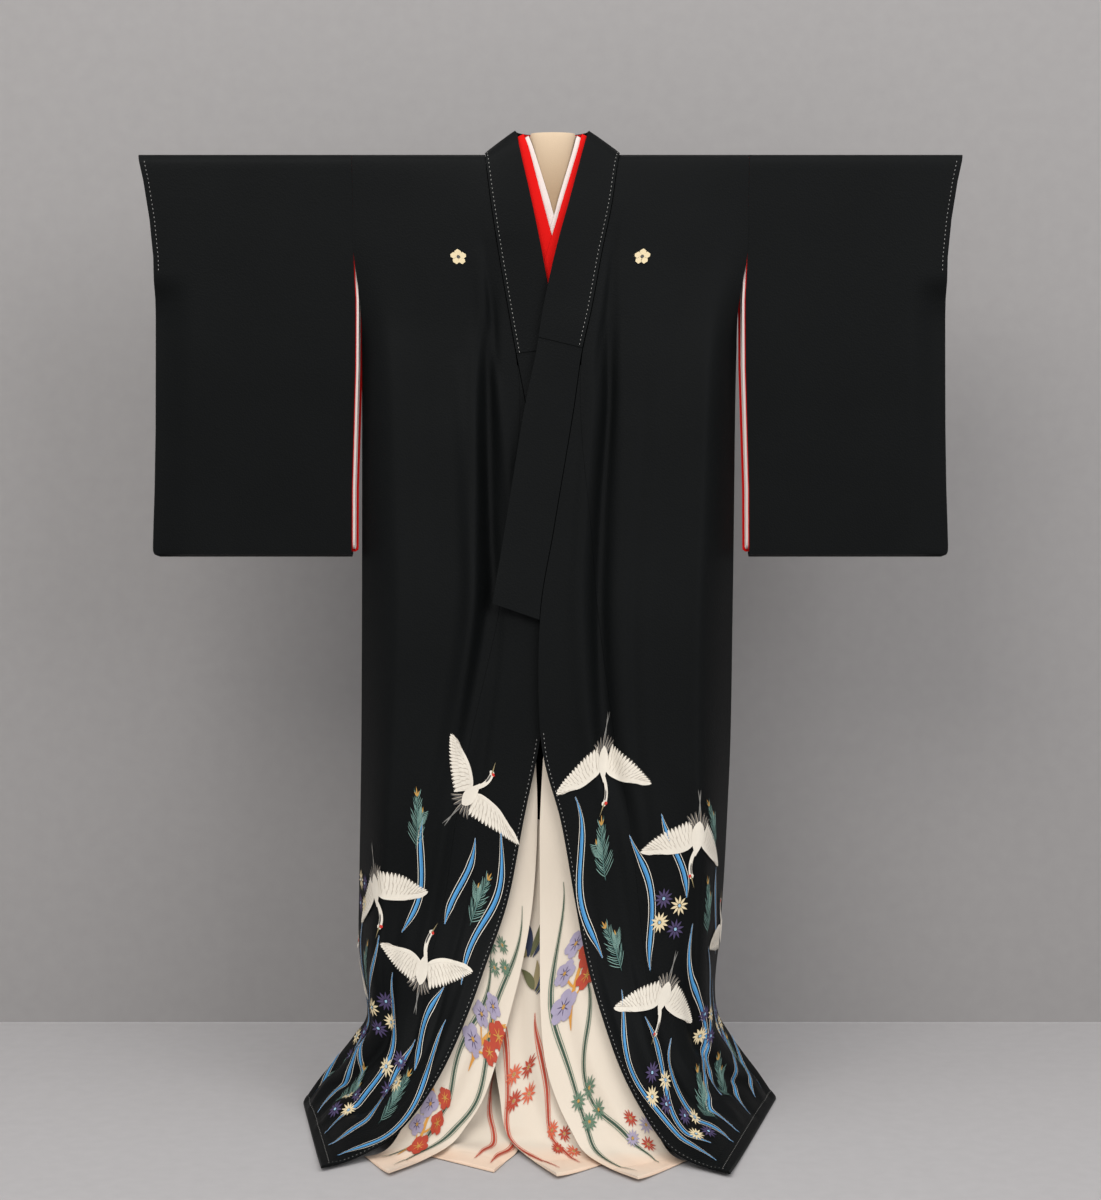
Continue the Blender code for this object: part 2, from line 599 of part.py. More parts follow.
def collar_lines():
    """Seam and free edge of the outer collar, from the wearer's right end to the left end."""
    fronts = []
    for panel, edges in (("right_front", COLLAR_RIGHT_EDGE), ("left_front", COLLAR_LEFT_EDGE)):
        side = []
        for v in [w for w in ROW_VS if w * SECTIONS <= COLLAR_SECTIONS + 1e-6]:
            seam = panel_point(panel, 1.0, v)
            free = Vector(sample(edges, v * SECTIONS))
            side.append((seam, free))
        fronts.append(side)
    shares = [0.0, 0.04, 0.09, 0.14, 0.18, 0.24, 0.30, 0.35, 0.40, 0.45, 0.5]
    shares = shares + [1 - s for s in reversed(shares[:-1])]
    right_top, left_top = fronts[0][0], fronts[1][0]
    edges = [(0.0, *right_top[1])] + COLLAR_NECK_EDGE + [(1.0, *left_top[1])]
    neck = []
    for share in shares[1:-1]:
        u = 0.5 + (share - 0.5) * NECKLINE_SHARE
        seam = panel_point("back", u, 0.0)
        position = next(i for i in range(len(edges) - 1) if edges[i + 1][0] >= share)
        t = (share - edges[position][0]) / (edges[position + 1][0] - edges[position][0])
        free = Vector(sample([e[1:] for e in edges], position + t))
        neck.append((seam, free))
    lines = list(reversed(fronts[0])) + neck + fronts[1]
    return [(s + (f - s).normalized() * (SEAM_GAP + 0.0009), f) for s, f in lines]


def collars():
    lines = collar_lines()
    strip("collar", lines, COLLAR_THICK, COLLAR_LIFT, BLACK)
    lift = COLLAR_LIFT + LAYER_GAP + OVERCOLLAR_THICK
    strip("overcollar", lines[OVERCOLLAR_SKIP:-OVERCOLLAR_SKIP], OVERCOLLAR_THICK, lift, BLACK)
    for name, table, colour in (
        ("middle_collar", MIDDLE_COLLAR, RED),
        ("inner_collar", INNER_COLLAR, WHITE),
    ):
        rows = [sample(table, k / 2) for k in range(2 * len(table) - 1)]
        lines = [(Vector(row[3:]), Vector(row[:3])) for row in rows]
        strip(name, lines, 0.0014, 0.0, colour, parts=1)


def sleeve_half_depth(z, closed):
    """Half the sleeve's depth at a height; closed is 1 where its outer edge is sewn shut."""
    below = SHOULDER_Z - z
    radius = SHOULDER_FOLD_R
    half = radius
    if below < radius:
        half = math.sqrt(max(0.0, radius ** 2 - (radius - below) ** 2))
    half *= 1 - 0.25 * smooth(1.2, 0.9, z)
    shut = closed * smooth(SLEEVE_CUFF_LOW_Z + 0.02, SLEEVE_CUFF_LOW_Z - 0.03, z)
    return half + (SLEEVE_CLOSED_HALF - half) * shut


SLEEVE_CAP_ANGLES = [0, 15, 30, 45, 60, 75, 90]
SLEEVE_ZS = [1.440, 1.380, 1.320, 1.285, 1.255, 1.230, 1.150, 1.050, 0.960, 0.900, 0.872]


def sleeve_loop(sign, share, inset, bottom, closed, front_x, back_x):
    """One section of a sleeve, from the top down the front wall and up the back wall."""
    zs = [SHOULDER_Z - SHOULDER_FOLD_R * (1 - math.cos(math.radians(a))) for a in SLEEVE_CAP_ANGLES[1:]]
    zs += SLEEVE_ZS
    radius = SHOULDER_FOLD_R - inset

    def at(z, y, nominal, shift):
        near, far = line([row[1:] for row in SLEEVE_ENDS], height_position(nominal))
        shift *= smooth(1.22, 1.14, nominal)
        return Vector((sign * (near - shift + (far - near + shift) * share), y, z))

    def half(nominal):
        value = sleeve_half_depth(nominal, closed)
        below = SHOULDER_Z - nominal
        if below < SHOULDER_FOLD_R:
            return value * radius / SHOULDER_FOLD_R
        return max(value - inset, 0.0012)

    def height(nominal):
        below = SHOULDER_Z - nominal
        if below < SHOULDER_FOLD_R:
            return SHOULDER_Z - inset - below * radius / SHOULDER_FOLD_R
        return max(nominal, bottom + 0.004)

    points = [at(SHOULDER_Z - inset, 0.0, SHOULDER_Z, (front_x + back_x) / 2)]
    points += [at(height(z), -half(z), z, front_x) for z in zs]
    low = bottom + inset
    points += [at(low + 0.003, -half(0.872) * 0.7, SLEEVE_BOTTOM_Z, front_x)]
    points += [at(low, 0.0, SLEEVE_BOTTOM_Z, (front_x + back_x) / 2)]
    points += [at(low + 0.003, half(0.872) * 0.7, SLEEVE_BOTTOM_Z, back_x)]
    points += [at(height(z), half(z), z, back_x) for z in reversed(zs)]
    return points


def height_position(z):
    zs = [row[0] for row in SLEEVE_ENDS]
    for i in range(len(zs) - 1):
        if z >= zs[i + 1]:
            return i + (zs[i] - z) / (zs[i] - zs[i + 1])
    return len(zs) - 1.0


def sleeves():
    layers = (
        ("sleeve", BLACK, 0, 0.0, 0.0, 1.0, SLEEVE_BOTTOM_Z, (0.0, 0.3, 0.6, 0.8, 0.88, 0.94, 1.0)),
        ("middle_sleeve", RED, 1, 0.0012, 0.0090, 0.80, SLEEVE_BOTTOM_Z + 0.006, (0.0, 0.5, 1.0)),
        ("inner_sleeve", WHITE, 2, 0.0045, 0.0055, 0.78, SLEEVE_BOTTOM_Z + 0.008, (0.0, 0.5, 1.0)),
    )
    for label, sign in (("right", -1), ("left", 1)):
        for name, colour, depth, front_x, back_x, reach, bottom, stations in layers:
            inset = depth * (CLOTH + LAYER_GAP)
            outer, inner = [], []
            for station in stations:
                share = station * reach
                closed = smooth(0.80, 0.99, share) if depth == 0 else 0.0
                outer.append(sleeve_loop(sign, share, inset, bottom, closed, front_x, back_x))
                inner.append(sleeve_loop(sign, share, inset + CLOTH, bottom, closed, front_x, back_x))
            wall(name + "_" + label, outer, inner, colour, closed_across=True)


def turned(name, profile, colour, segments=40, squash=(1.0, 1.0), centre=(0.0, 0.0), metallic=0.0, rough=0.5):
    """Solid turned about +Z from a profile of radius and height, flat at both ends."""
    vertices, faces = [], []
    for radius, z in profile:
        for k in range(segments):
            angle = 2 * math.pi * k / segments
            x = centre[0] + radius * squash[0] * math.cos(angle)
            vertices.append((x, centre[1] + radius * squash[1] * math.sin(angle), z))
    for i in range(len(profile) - 1):
        for k in range(segments):
            n = (k + 1) % segments
            faces.append((i * segments + k, i * segments + n, (i + 1) * segments + n, (i + 1) * segments + k))
    faces.append(tuple(reversed(range(segments))))
    faces.append(tuple((len(profile) - 1) * segments + k for k in range(segments)))
    obj = add_object(name, vertices, faces, colour, rough, metallic)
    turn_outwards(obj.data)
    return obj


def stand():
    edge = BASE_R - BASE_EDGE
    base = [(BASE_R, 0.0), (BASE_R, BASE_THICK - BASE_EDGE), (edge, BASE_THICK)]
    turned("stand_base", base, IRON, 64, metallic=0.8)
    low, high = BASE_THICK + SEAM_GAP, NECK_LOW_Z - SEAM_GAP
    turned("stand_post", [(POST_R, low), (POST_R, high)], IRON, 24, metallic=0.8)
    neck = [(0.80, NECK_LOW_Z), (0.98, NECK_LOW_Z + 0.03), (1.0, 1.38), (0.98, 1.45)]
    neck += [(0.95, NECK_TOP_Z - 0.006), (0.91, NECK_TOP_Z - 0.0015), (0.84, NECK_TOP_Z)]
    squash = (NECK_HALF_X, NECK_HALF_Y)
    turned("neck_form", neck, BEIGE, 40, squash, (NECK_X, NECK_Y), rough=0.7)
    for label, sign in (("right", -1), ("left", 1)):
        side = NECK_X + sign * NECK_HALF_X * NECK_AT_ARM
        start = abs(side) + SEAM_GAP
        arm = turned("stand_arm_" + label, [(ROD_R, start), (ROD_R, ROD_END_X)], IRON, 24, metallic=0.8)
        arm.rotation_euler = (0.0, sign * math.pi / 2, 0.0)
        arm.location = (0.0, 0.0, ROD_Z)


body_panels()
under_fronts()
collars()
sleeves()
stand()
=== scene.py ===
# Looks of the wedding kimono on its stand: cloth shells, painted hem, stitches and materials

import math

import bpy
import numpy as np
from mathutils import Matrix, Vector


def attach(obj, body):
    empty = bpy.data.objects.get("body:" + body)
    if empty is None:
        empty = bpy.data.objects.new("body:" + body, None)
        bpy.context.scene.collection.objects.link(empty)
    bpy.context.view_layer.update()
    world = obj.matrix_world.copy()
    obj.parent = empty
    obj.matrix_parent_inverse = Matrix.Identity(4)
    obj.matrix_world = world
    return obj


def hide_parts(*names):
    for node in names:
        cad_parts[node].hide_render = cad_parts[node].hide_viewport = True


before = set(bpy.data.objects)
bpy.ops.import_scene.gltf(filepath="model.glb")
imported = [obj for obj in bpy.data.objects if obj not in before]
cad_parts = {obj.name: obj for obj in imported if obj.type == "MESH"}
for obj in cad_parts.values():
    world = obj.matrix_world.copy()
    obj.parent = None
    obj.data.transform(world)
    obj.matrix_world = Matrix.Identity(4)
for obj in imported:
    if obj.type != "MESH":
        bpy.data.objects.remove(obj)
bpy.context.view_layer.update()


def mm(rows, count=None):
    """Rows in metres from rows in millimetres; what follows the first count columns stays as it is."""
    return [tuple(v / 1000 for v in row[:count]) + (tuple(row[count:]) if count else ()) for row in rows]


# Sizes shared with the solids, in metres
SHOULDER_Z = 1.482
CLOTH = 0.0016
SEAM_GAP = 0.0003
LAYER_GAP = 0.0004
SHOULDER_FOLD_R = 0.0165
SLEEVE_BOTTOM_Z = 0.853
SLEEVE_CUFF_LOW_Z = 1.270
SLEEVE_CLOSED_HALF = 0.0028
COLLAR_LIFT = 0.0012
OVERCOLLAR_ENDS = (0.300, 0.295, (0.004, 0.010))
SHEET_THICK = 0.0009
COLLAR_THICK = 0.0028
OVERCOLLAR_THICK = 0.0013
LOWER_COLLAR_THICK = 0.0012
COLLAR_EASE = 0.0004
SIDE_SEAM_GAP = 0.0004
LEAST_HALF_DEPTH = 0.0012

# Points across each sheet, and along the collars
FRONT_POINTS = 90
OKUMI_POINTS = 40
BACK_POINTS = 84
UNDER_POINTS = 30
SLEEVE_POINTS = 40
COLLAR_POINTS = 70
NECK_POINTS = 41

# Wearer's right front, seen at the left: side seam and front edge at each section, from the shoulder down.
# round: 1 where the section is flat with a rounded side, 0 where it runs straight to the floor.
# Columns: side x, y, z, edge x, y, z in millimetres, round
RIGHT_FRONT = mm([
    (-310, -0.2, 1482, -102.5, -0.2, 1482, 0), (-309.8, -11.7, 1477.2, -101.5, -13, 1476, 0),
    (-309.5, -16.5, 1465, -100, -19.5, 1460, 0), (-308.2, -17, 1400, -92.5, -26, 1400, 0),
    (-306.6, -17, 1325, -81, -28.5, 1325, 0.2), (-296, -12, 1240, -66.5, -30, 1240, 0.6),
    (-295.2, -1, 1170, -54, -33, 1170, 0.9), (-295, -0.2, 1074, -36, -38, 1074, 1),
    (-295, -0.2, 900, -10, -50, 900, 1), (-295.2, -0.2, 760, 10, -64, 760, 1),
    (-296, -0.2, 577, -16, -82, 577, 1), (-297.5, -1, 460, -41, -98, 455, 1),
    (-299, -5, 340, -64, -118, 339, 0.9), (-299.2, -10, 250, -96, -150, 250, 0.8),
    (-290, -15, 185, -124, -190, 180, 0.6), (-286, -18, 140, -155, -235, 118, 0.45),
    (-305, -19, 110, -190, -270, 68, 0.3), (-330, -19, 78, -225, -292, 34, 0.15),
    (-357, -18, 45, -262, -305, 14, 0), (-377, -17, 17, -295, -328, 6.5, 0),
    (-385, -16, 1.6, -324, -351, 6, 0),
], 6)

# Wearer's left front, seen at the right, with the same columns. It lies over the other front.
LEFT_FRONT = mm([
    (310, -0.2, 1482, 108.8, -0.2, 1482, 0), (309.8, -11.7, 1477.2, 107, -13, 1476, 0),
    (309.5, -16.5, 1465, 104, -20.5, 1460, 0), (308.2, -17, 1400, 95.5, -30, 1400, 0),
    (306.6, -17, 1325, 80, -37, 1325, 0.2), (293, -12, 1240, 64.5, -44, 1240, 0.6),
    (291, -1, 1170, 49, -48, 1170, 0.9), (289, -0.2, 1074, 35, -54, 1074, 1),
    (287, -0.2, 900, 6, -67, 900, 1), (285, -0.2, 760, -16, -80, 760, 1),
    (282, -0.2, 577, -14.5, -96, 577, 1), (277, 1, 455, 16, -112, 455, 1),
    (271, 3, 340, 37, -132, 339, 0.9), (264, 5, 250, 55, -158, 250, 0.8),
    (258, 6, 185, 78, -198, 177, 0.6), (262, 7, 140, 103, -240, 115, 0.45),
    (278, 8, 110, 132, -280, 67, 0.3), (300, 9, 78, 162, -312, 30, 0.15),
    (325, 10, 45, 193, -332, 12, 0), (344, 11, 17, 225, -356, 6.5, 0),
    (354, 12, 1.6, 251.5, -377.5, 6, 0),
], 6)

# Back: centre-back point at the heights of the fronts' sections; its sides are the side seams.
# Columns: centre y, z in millimetres, round
BACK_CENTRE = mm([
    (36, 1455, 0), (36.2, 1448, 0), (36.4, 1438, 0), (37, 1390, 0), (37.5, 1320, 0.3), (38, 1240, 0.7),
    (39, 1170, 0.9), (40, 1074, 1), (44, 900, 1), (50, 760, 1), (62, 577, 1), (76, 450, 1),
    (98, 330, 1), (122, 245, 0.9), (148, 180, 0.8), (176, 130, 0.7), (202, 90, 0.6), (226, 58, 0.5),
    (248, 32, 0.5), (266, 13, 0.5), (280, 1.6, 0.5),
], 2)

# Soft folds of each panel: a trough has depth over 0, a ridge has depth under 0.
# Columns: panel, u and v of the upper end, u and v of the lower end, depth, half width across (u)
FOLDS = [
    ("right_front", 0.8, 0.2, 0.66, 0.62, 0.007, 0.06),
    ("right_front", 0.64, 0.3, 0.46, 0.74, -0.006, 0.08),
    ("right_front", 0.3, 0.52, 0.24, 0.93, 0.011, 0.07),
    ("right_front", 0.16, 0.62, 0.12, 0.97, -0.008, 0.05),
    ("right_front", 0.55, 0.64, 0.58, 0.95, 0.009, 0.07),
    ("left_front", 0.84, 0.22, 0.6, 0.6, 0.006, 0.055),
    ("left_front", 0.6, 0.34, 0.44, 0.76, -0.006, 0.08),
    ("left_front", 0.28, 0.52, 0.22, 0.92, 0.01, 0.07),
    ("left_front", 0.12, 0.64, 0.1, 0.97, -0.007, 0.05),
    ("left_front", 0.52, 0.66, 0.56, 0.94, 0.008, 0.07), ("back", 0.16, 0.36, 0.12, 0.95, 0.01, 0.05),
    ("back", 0.3, 0.44, 0.28, 0.92, -0.009, 0.055), ("back", 0.44, 0.34, 0.42, 0.96, 0.008, 0.045),
    ("back", 0.62, 0.4, 0.64, 0.94, -0.009, 0.055), ("back", 0.76, 0.3, 0.8, 0.92, 0.01, 0.05),
    ("back", 0.9, 0.5, 0.91, 0.95, -0.006, 0.04),
]

# Free edge of each outer collar at the sections of its front, from the shoulder to the collar's end
# Columns: x, y, z in millimetres
COLLAR_LEFT_EDGE = mm([
    (58.7, -2, 1518), (56, -12, 1508), (50.5, -22, 1488), (30, -33, 1411), (8, -40, 1330),
    (-11, -45, 1242), (-22, -49, 1172), (-42, -55, 1074), (-70, -67, 900), (-89, -78, 785),
])
COLLAR_RIGHT_EDGE = mm([
    (-54, -2, 1518), (-51, -11, 1508), (-47.5, -20, 1488), (-30, -27, 1411), (-13.5, -30, 1330),
    (2, -32, 1242), (14, -35, 1172), (31, -40, 1074), (52, -51.5, 900), (69, -65, 770),
])

# Free edge of the outer collar round the back of the neck, between the shoulders
# Columns: share of the neckline from right to left, x, y, z in metres
COLLAR_NECK_EDGE = [
    (0.16, -0.0500, 0.0230, 1.5190),
    (0.33, -0.0320, 0.0450, 1.5190),
    (0.50, 0.0015, 0.0540, 1.5190),
    (0.67, 0.0360, 0.0450, 1.5190),
    (0.84, 0.0545, 0.0230, 1.5190),
]

# Collars of the layers below, from the wearer's right round the neck to the left
# Columns: free edge x, y, z, hidden edge x, y, z in millimetres
MIDDLE_COLLAR = mm([
    (24.5, -24, 1270, 0.5, -24, 1270), (2.3, -24, 1353, -21.7, -24, 1353),
    (-13, -23.5, 1411, -37, -23, 1405), (-32.5, -16.5, 1486, -55, -16, 1474),
    (-40, -9, 1508, -62, -8.5, 1495), (-42.5, 0, 1515, -65, 0, 1502), (-40, 20, 1516, -48, 19, 1492),
    (-26, 38.5, 1517, -30, 34, 1489), (1.5, 47, 1517, 1.5, 40, 1489), (30, 38.5, 1517, 34, 34, 1489),
    (46, 20, 1516, 54, 19, 1492), (50, 0, 1515, 72, 0, 1502), (47.5, -9, 1508, 69, -8.5, 1495),
    (42, -17, 1486, 64, -16.5, 1474), (19.6, -26, 1411, 43.6, -26, 1405),
    (2.3, -26.4, 1353, 26.3, -26.4, 1353), (-22.5, -26.4, 1270, 1.5, -26.4, 1270),
])
INNER_COLLAR = mm([
    (29, -19.4, 1310, 6, -19.4, 1310), (5.5, -19.4, 1385, -18.5, -19.4, 1385),
    (-3, -19, 1415, -27, -19, 1408), (-24.5, -13.6, 1484, -45, -13, 1472),
    (-32, -8, 1505, -52, -7.5, 1492), (-34.5, 0, 1512, -56, 0, 1498.5), (-33, 17, 1513, -38, 16, 1492),
    (-22, 33, 1514, -24, 29, 1490), (1.5, 40, 1514, 1.5, 34.5, 1490), (26, 33, 1514, 28, 29, 1490),
    (39, 17, 1513, 44, 16, 1492), (42, 0, 1512, 63, 0, 1498.5), (39.5, -8, 1505, 59, -7.5, 1492),
    (34, -13.8, 1484, 54, -13.6, 1472), (13.5, -21.4, 1415, 37, -21.4, 1408),
    (5.5, -21.6, 1385, 29.5, -21.6, 1385), (-17, -21.6, 1310, 6, -21.6, 1310),
])

# Front edges of the layers below, each from its hidden top to the tip of its hem.
# first: section of the outer front at which the table starts
# behind: how far behind the panel above it its hidden side starts
# over_u: how far across the panel above it the hidden side lies
# over_v: how far down that panel its hem meets it
# Columns: x, y, z in millimetres
MIDDLE_FRONT_RIGHT = {"first": 9, "behind": 0.0075, "over_u": (0.80, 0.93), "over_v": 0.90, "edge": mm([
    (-30, -52, 740), (-24, -70, 577), (-20, -84, 455), (-26.5, -100, 339), (-41.5, -128, 250),
    (-60, -160, 180), (-79, -198, 118), (-99, -230, 68), (-124, -252, 34), (-145, -268, 14),
    (-185, -318, 6), (-226.6, -373, 6),
])}
MIDDLE_FRONT_LEFT = {"first": 10, "behind": 0.0075, "over_u": (0.90, 0.93), "over_v": 0.89, "edge": mm([
    (-10, -78, 570), (-16, -94, 455), (-16, -108, 339), (-16, -133, 250), (-14.5, -167, 177),
    (-7.5, -203, 115), (10, -237, 67), (32, -275, 32), (49.5, -300, 12), (84, -351, 6),
    (122, -399.5, 6),
])}
INNER_FRONT_LEFT = {"first": 11, "behind": 0.0075, "over_u": (0.62, 0.82), "over_v": 0.92, "edge": mm([
    (-40, -68, 455), (-50, -83, 339), (-66, -108, 250), (-78, -140, 178), (-83, -175, 116),
    (-74.5, -207, 64), (-68, -236, 32), (-56, -252, 12), (-25, -315, 6), (9, -386, 6),
])}
INNER_FRONT_RIGHT = {"first": 15, "behind": 0.024, "over_u": (0.80, 0.84), "over_v": 0.92, "edge": mm([
    (-64, -105, 116), (-50, -158, 64), (-46, -208, 30), (-47, -256, 4), (-65, -310, 1.8),
    (-79.7, -355, 1.6),
])}

# Overlap panel: share of the front's width that is left to the body panel, at each section of the front
OKUMI_FIRST = 7
OKUMI_SEAM = [0.955, 0.80, 0.70, 0.62, 0.60, 0.59, 0.585, 0.58, 0.58, 0.58, 0.58, 0.58, 0.58, 0.58]

# Sleeve's inner and outer end, from the shoulder down
# Columns: z, inner x, outer x in millimetres
SLEEVE_ENDS = mm([
    (1482, 310.3, 644), (1410, 308.5, 628), (1320, 306.9, 619), (1250, 303.5, 617.5),
    (1100, 304.5, 617.5), (1000, 309.5, 618), (870, 310, 622), (853, 311, 608),
])

SECTIONS = len(RIGHT_FRONT) - 1
COLLAR_SECTIONS = len(COLLAR_LEFT_EDGE) - 1
SIDE_CLOSED_V = (5 / SECTIONS, 6 / SECTIONS)
NECKLINE_SHARE = 0.34
ROLL_THICK = 0.0032
ROLL_FROM_V = 0.955
LAST_ROLL_SHARE = 0.35
FACES_UP_V = (0.90, 0.97)
SHARP_DEGREES = 50
LAYER_REST = 0.0075
HEM_TURN_V = 0.80


def smooth(low, high, value):
    """Soft step from 0 at low to 1 at high, which may lie in either order."""
    t = min(1.0, max(0.0, (value - low) / (high - low)))
    return t * t * (3 - 2 * t)


def sample(table, position):
    """Row of the table at a position counted in rows, on a smooth curve through them."""
    last = len(table) - 1
    position = min(max(position, 0.0), float(last))
    i = min(int(position), last - 1)
    t = position - i
    a, b, c, d = (table[min(max(k, 0), last)] for k in (i - 1, i, i + 1, i + 2))
    return [
        0.5 * (2 * q + (r - p) * t + (2 * p - 5 * q + 4 * r - s) * t ** 2 + (3 * q - p - 3 * r + s) * t ** 3)
        for p, q, r, s in zip(a, b, c, d)
    ]


def line(table, position):
    """Row of the table at a position counted in rows, on straight lines between them."""
    last = len(table) - 1
    position = min(max(position, 0.0), float(last))
    i = min(int(position), last - 1)
    t = position - i
    return [p + (q - p) * t for p, q in zip(table[i], table[i + 1])]


def front_base(table, u, v):
    sx, sy, sz, ex, ey, ez, rounded = sample(table, v * SECTIONS)
    depth = (1 - rounded) * u + rounded * math.sin(math.pi / 2 * min(1.0, u / 0.22))
    rise = u ** (1 + 5 * smooth(0.86, 0.97, v))
    return Vector((sx + (ex - sx) * u, sy + (ey - sy) * depth, sz + (ez - sz) * rise))


def side_open(v):
    return 1 - smooth(SIDE_CLOSED_V[0], SIDE_CLOSED_V[1], v)


def back_base(u, v):
    right = sample(RIGHT_FRONT, v * SECTIONS)
    left = sample(LEFT_FRONT, v * SECTIONS)
    cy, cz, rounded = sample(BACK_CENTRE, v * SECTIONS)
    side = [a + (b - a) * u for a, b in zip(right, left)]
    y = side[1] + SIDE_SEAM_GAP - 2 * side_open(v) * side[1]
    across = abs(2 * u - 1)
    dip = 1 - min(1.0, across / NECKLINE_SHARE) ** 2
    full = 1 - across ** (2 + 2 * rounded)
    share = dip + (full - dip) * smooth(0, 0.2, v)
    return Vector((side[0], y + (cy - y) * share, side[2] + (cz - side[2]) * share))


def sleeve_half_depth(z, closed):
    """Half the sleeve's depth at a height; closed is 1 where its outer edge is sewn shut."""
    below = SHOULDER_Z - z
    radius = SHOULDER_FOLD_R
    half = radius
    if below < radius:
        half = math.sqrt(max(0.0, radius ** 2 - (radius - below) ** 2))
    half *= 1 - 0.25 * smooth(1.2, 0.9, z)
    shut = closed * smooth(SLEEVE_CUFF_LOW_Z + 0.02, SLEEVE_CUFF_LOW_Z - 0.03, z)
    return half + (SLEEVE_CLOSED_HALF - half) * shut


SLEEVE_CAP_ANGLES = [0, 15, 30, 45, 60, 75, 90]
SLEEVE_ZS = [1.440, 1.380, 1.350, 1.320, 1.285, 1.255, 1.230, 1.150, 1.050, 0.960, 0.900, 0.872]
SLEEVE_ZS_LOW = [0.8655, 0.8615, 0.8585, 0.8570]
SLEEVE_STRAIGHT_Z = 0.875
SLEEVE_CORNER_R = 0.011


def sleeve_loop(sign, share, inset, bottom, closed, front_x, back_x):
    """One section of a sleeve, from the top down the front wall and up the back wall."""
    zs = [SHOULDER_Z - SHOULDER_FOLD_R * (1 - math.cos(math.radians(a))) for a in SLEEVE_CAP_ANGLES[1:]]
    zs += SLEEVE_ZS + (SLEEVE_ZS_LOW if inset < CLOTH else [])
    radius = SHOULDER_FOLD_R - inset

    def at(z, y, nominal, shift):
        near, far = line([row[1:] for row in SLEEVE_ENDS], height_position(max(nominal, SLEEVE_STRAIGHT_Z)))
        turn = min(1.0, max(0.0, (SLEEVE_BOTTOM_Z + SLEEVE_CORNER_R - nominal) / SLEEVE_CORNER_R))
        far -= SLEEVE_CORNER_R * (1 - math.sqrt(1 - turn ** 2))
        shift *= smooth(1.37, 1.31, nominal)
        return Vector((sign * (near - shift + (far - near + shift) * share), y, z))

    def half(nominal):
        value = sleeve_half_depth(nominal, closed)
        below = SHOULDER_Z - nominal
        if below < SHOULDER_FOLD_R:
            return value * radius / SHOULDER_FOLD_R
        return max(value - inset, LEAST_HALF_DEPTH)

    def height(nominal):
        below = SHOULDER_Z - nominal
        if below < SHOULDER_FOLD_R:
            return SHOULDER_Z - inset - below * radius / SHOULDER_FOLD_R
        return max(nominal, bottom + 0.004)

    points = [at(SHOULDER_Z - inset, 0.0, SHOULDER_Z, (front_x + back_x) / 2)]
    points += [at(height(z), -half(z), z, front_x) for z in zs]
    low = bottom + inset
    points += [at(low + 0.003, -half(0.872) * 0.7, SLEEVE_BOTTOM_Z + 0.003, front_x)]
    points += [at(low, 0.0, SLEEVE_BOTTOM_Z, (front_x + back_x) / 2)]
    points += [at(low + 0.003, half(0.872) * 0.7, SLEEVE_BOTTOM_Z + 0.003, back_x)]
    points += [at(height(z), half(z), z, back_x) for z in reversed(zs)]
    return points


def height_position(z):
    zs = [row[0] for row in SLEEVE_ENDS]
    for i in range(len(zs) - 1):
        if z >= zs[i + 1]:
            return i + (zs[i] - z) / (zs[i] - zs[i + 1])
    return len(zs) - 1.0


# Cloth grids
ROWS = 200
COLUMNS = 96


def grid_normals(points, facing):
    across = np.gradient(points, axis=1)
    down = np.gradient(points, axis=0)
    normal = np.cross(across, down) * facing
    return normal / np.maximum(np.linalg.norm(normal, axis=2, keepdims=True), 1e-12)


def soft(values, low, high):
    t = np.clip((values - low) / (high - low), 0.0, 1.0)
    return t * t * (3 - 2 * t)


def wave_depth(folds, us, vs):
    """Depth of all soft folds of a panel on its grid."""
    u, v = np.meshgrid(us, vs)
    depth = np.zeros_like(u)
    for u0, v0, u1, v1, size, width in folds:
        t = (v - v0) / (v1 - v0)
        inside = (t > 0) & (t < 1)
        across = (u - u0 - (u1 - u0) * t) / width
        depth += np.where(inside, size * np.exp(-across ** 2) * np.sin(np.pi * np.clip(t, 0, 1)), 0.0)
    return depth


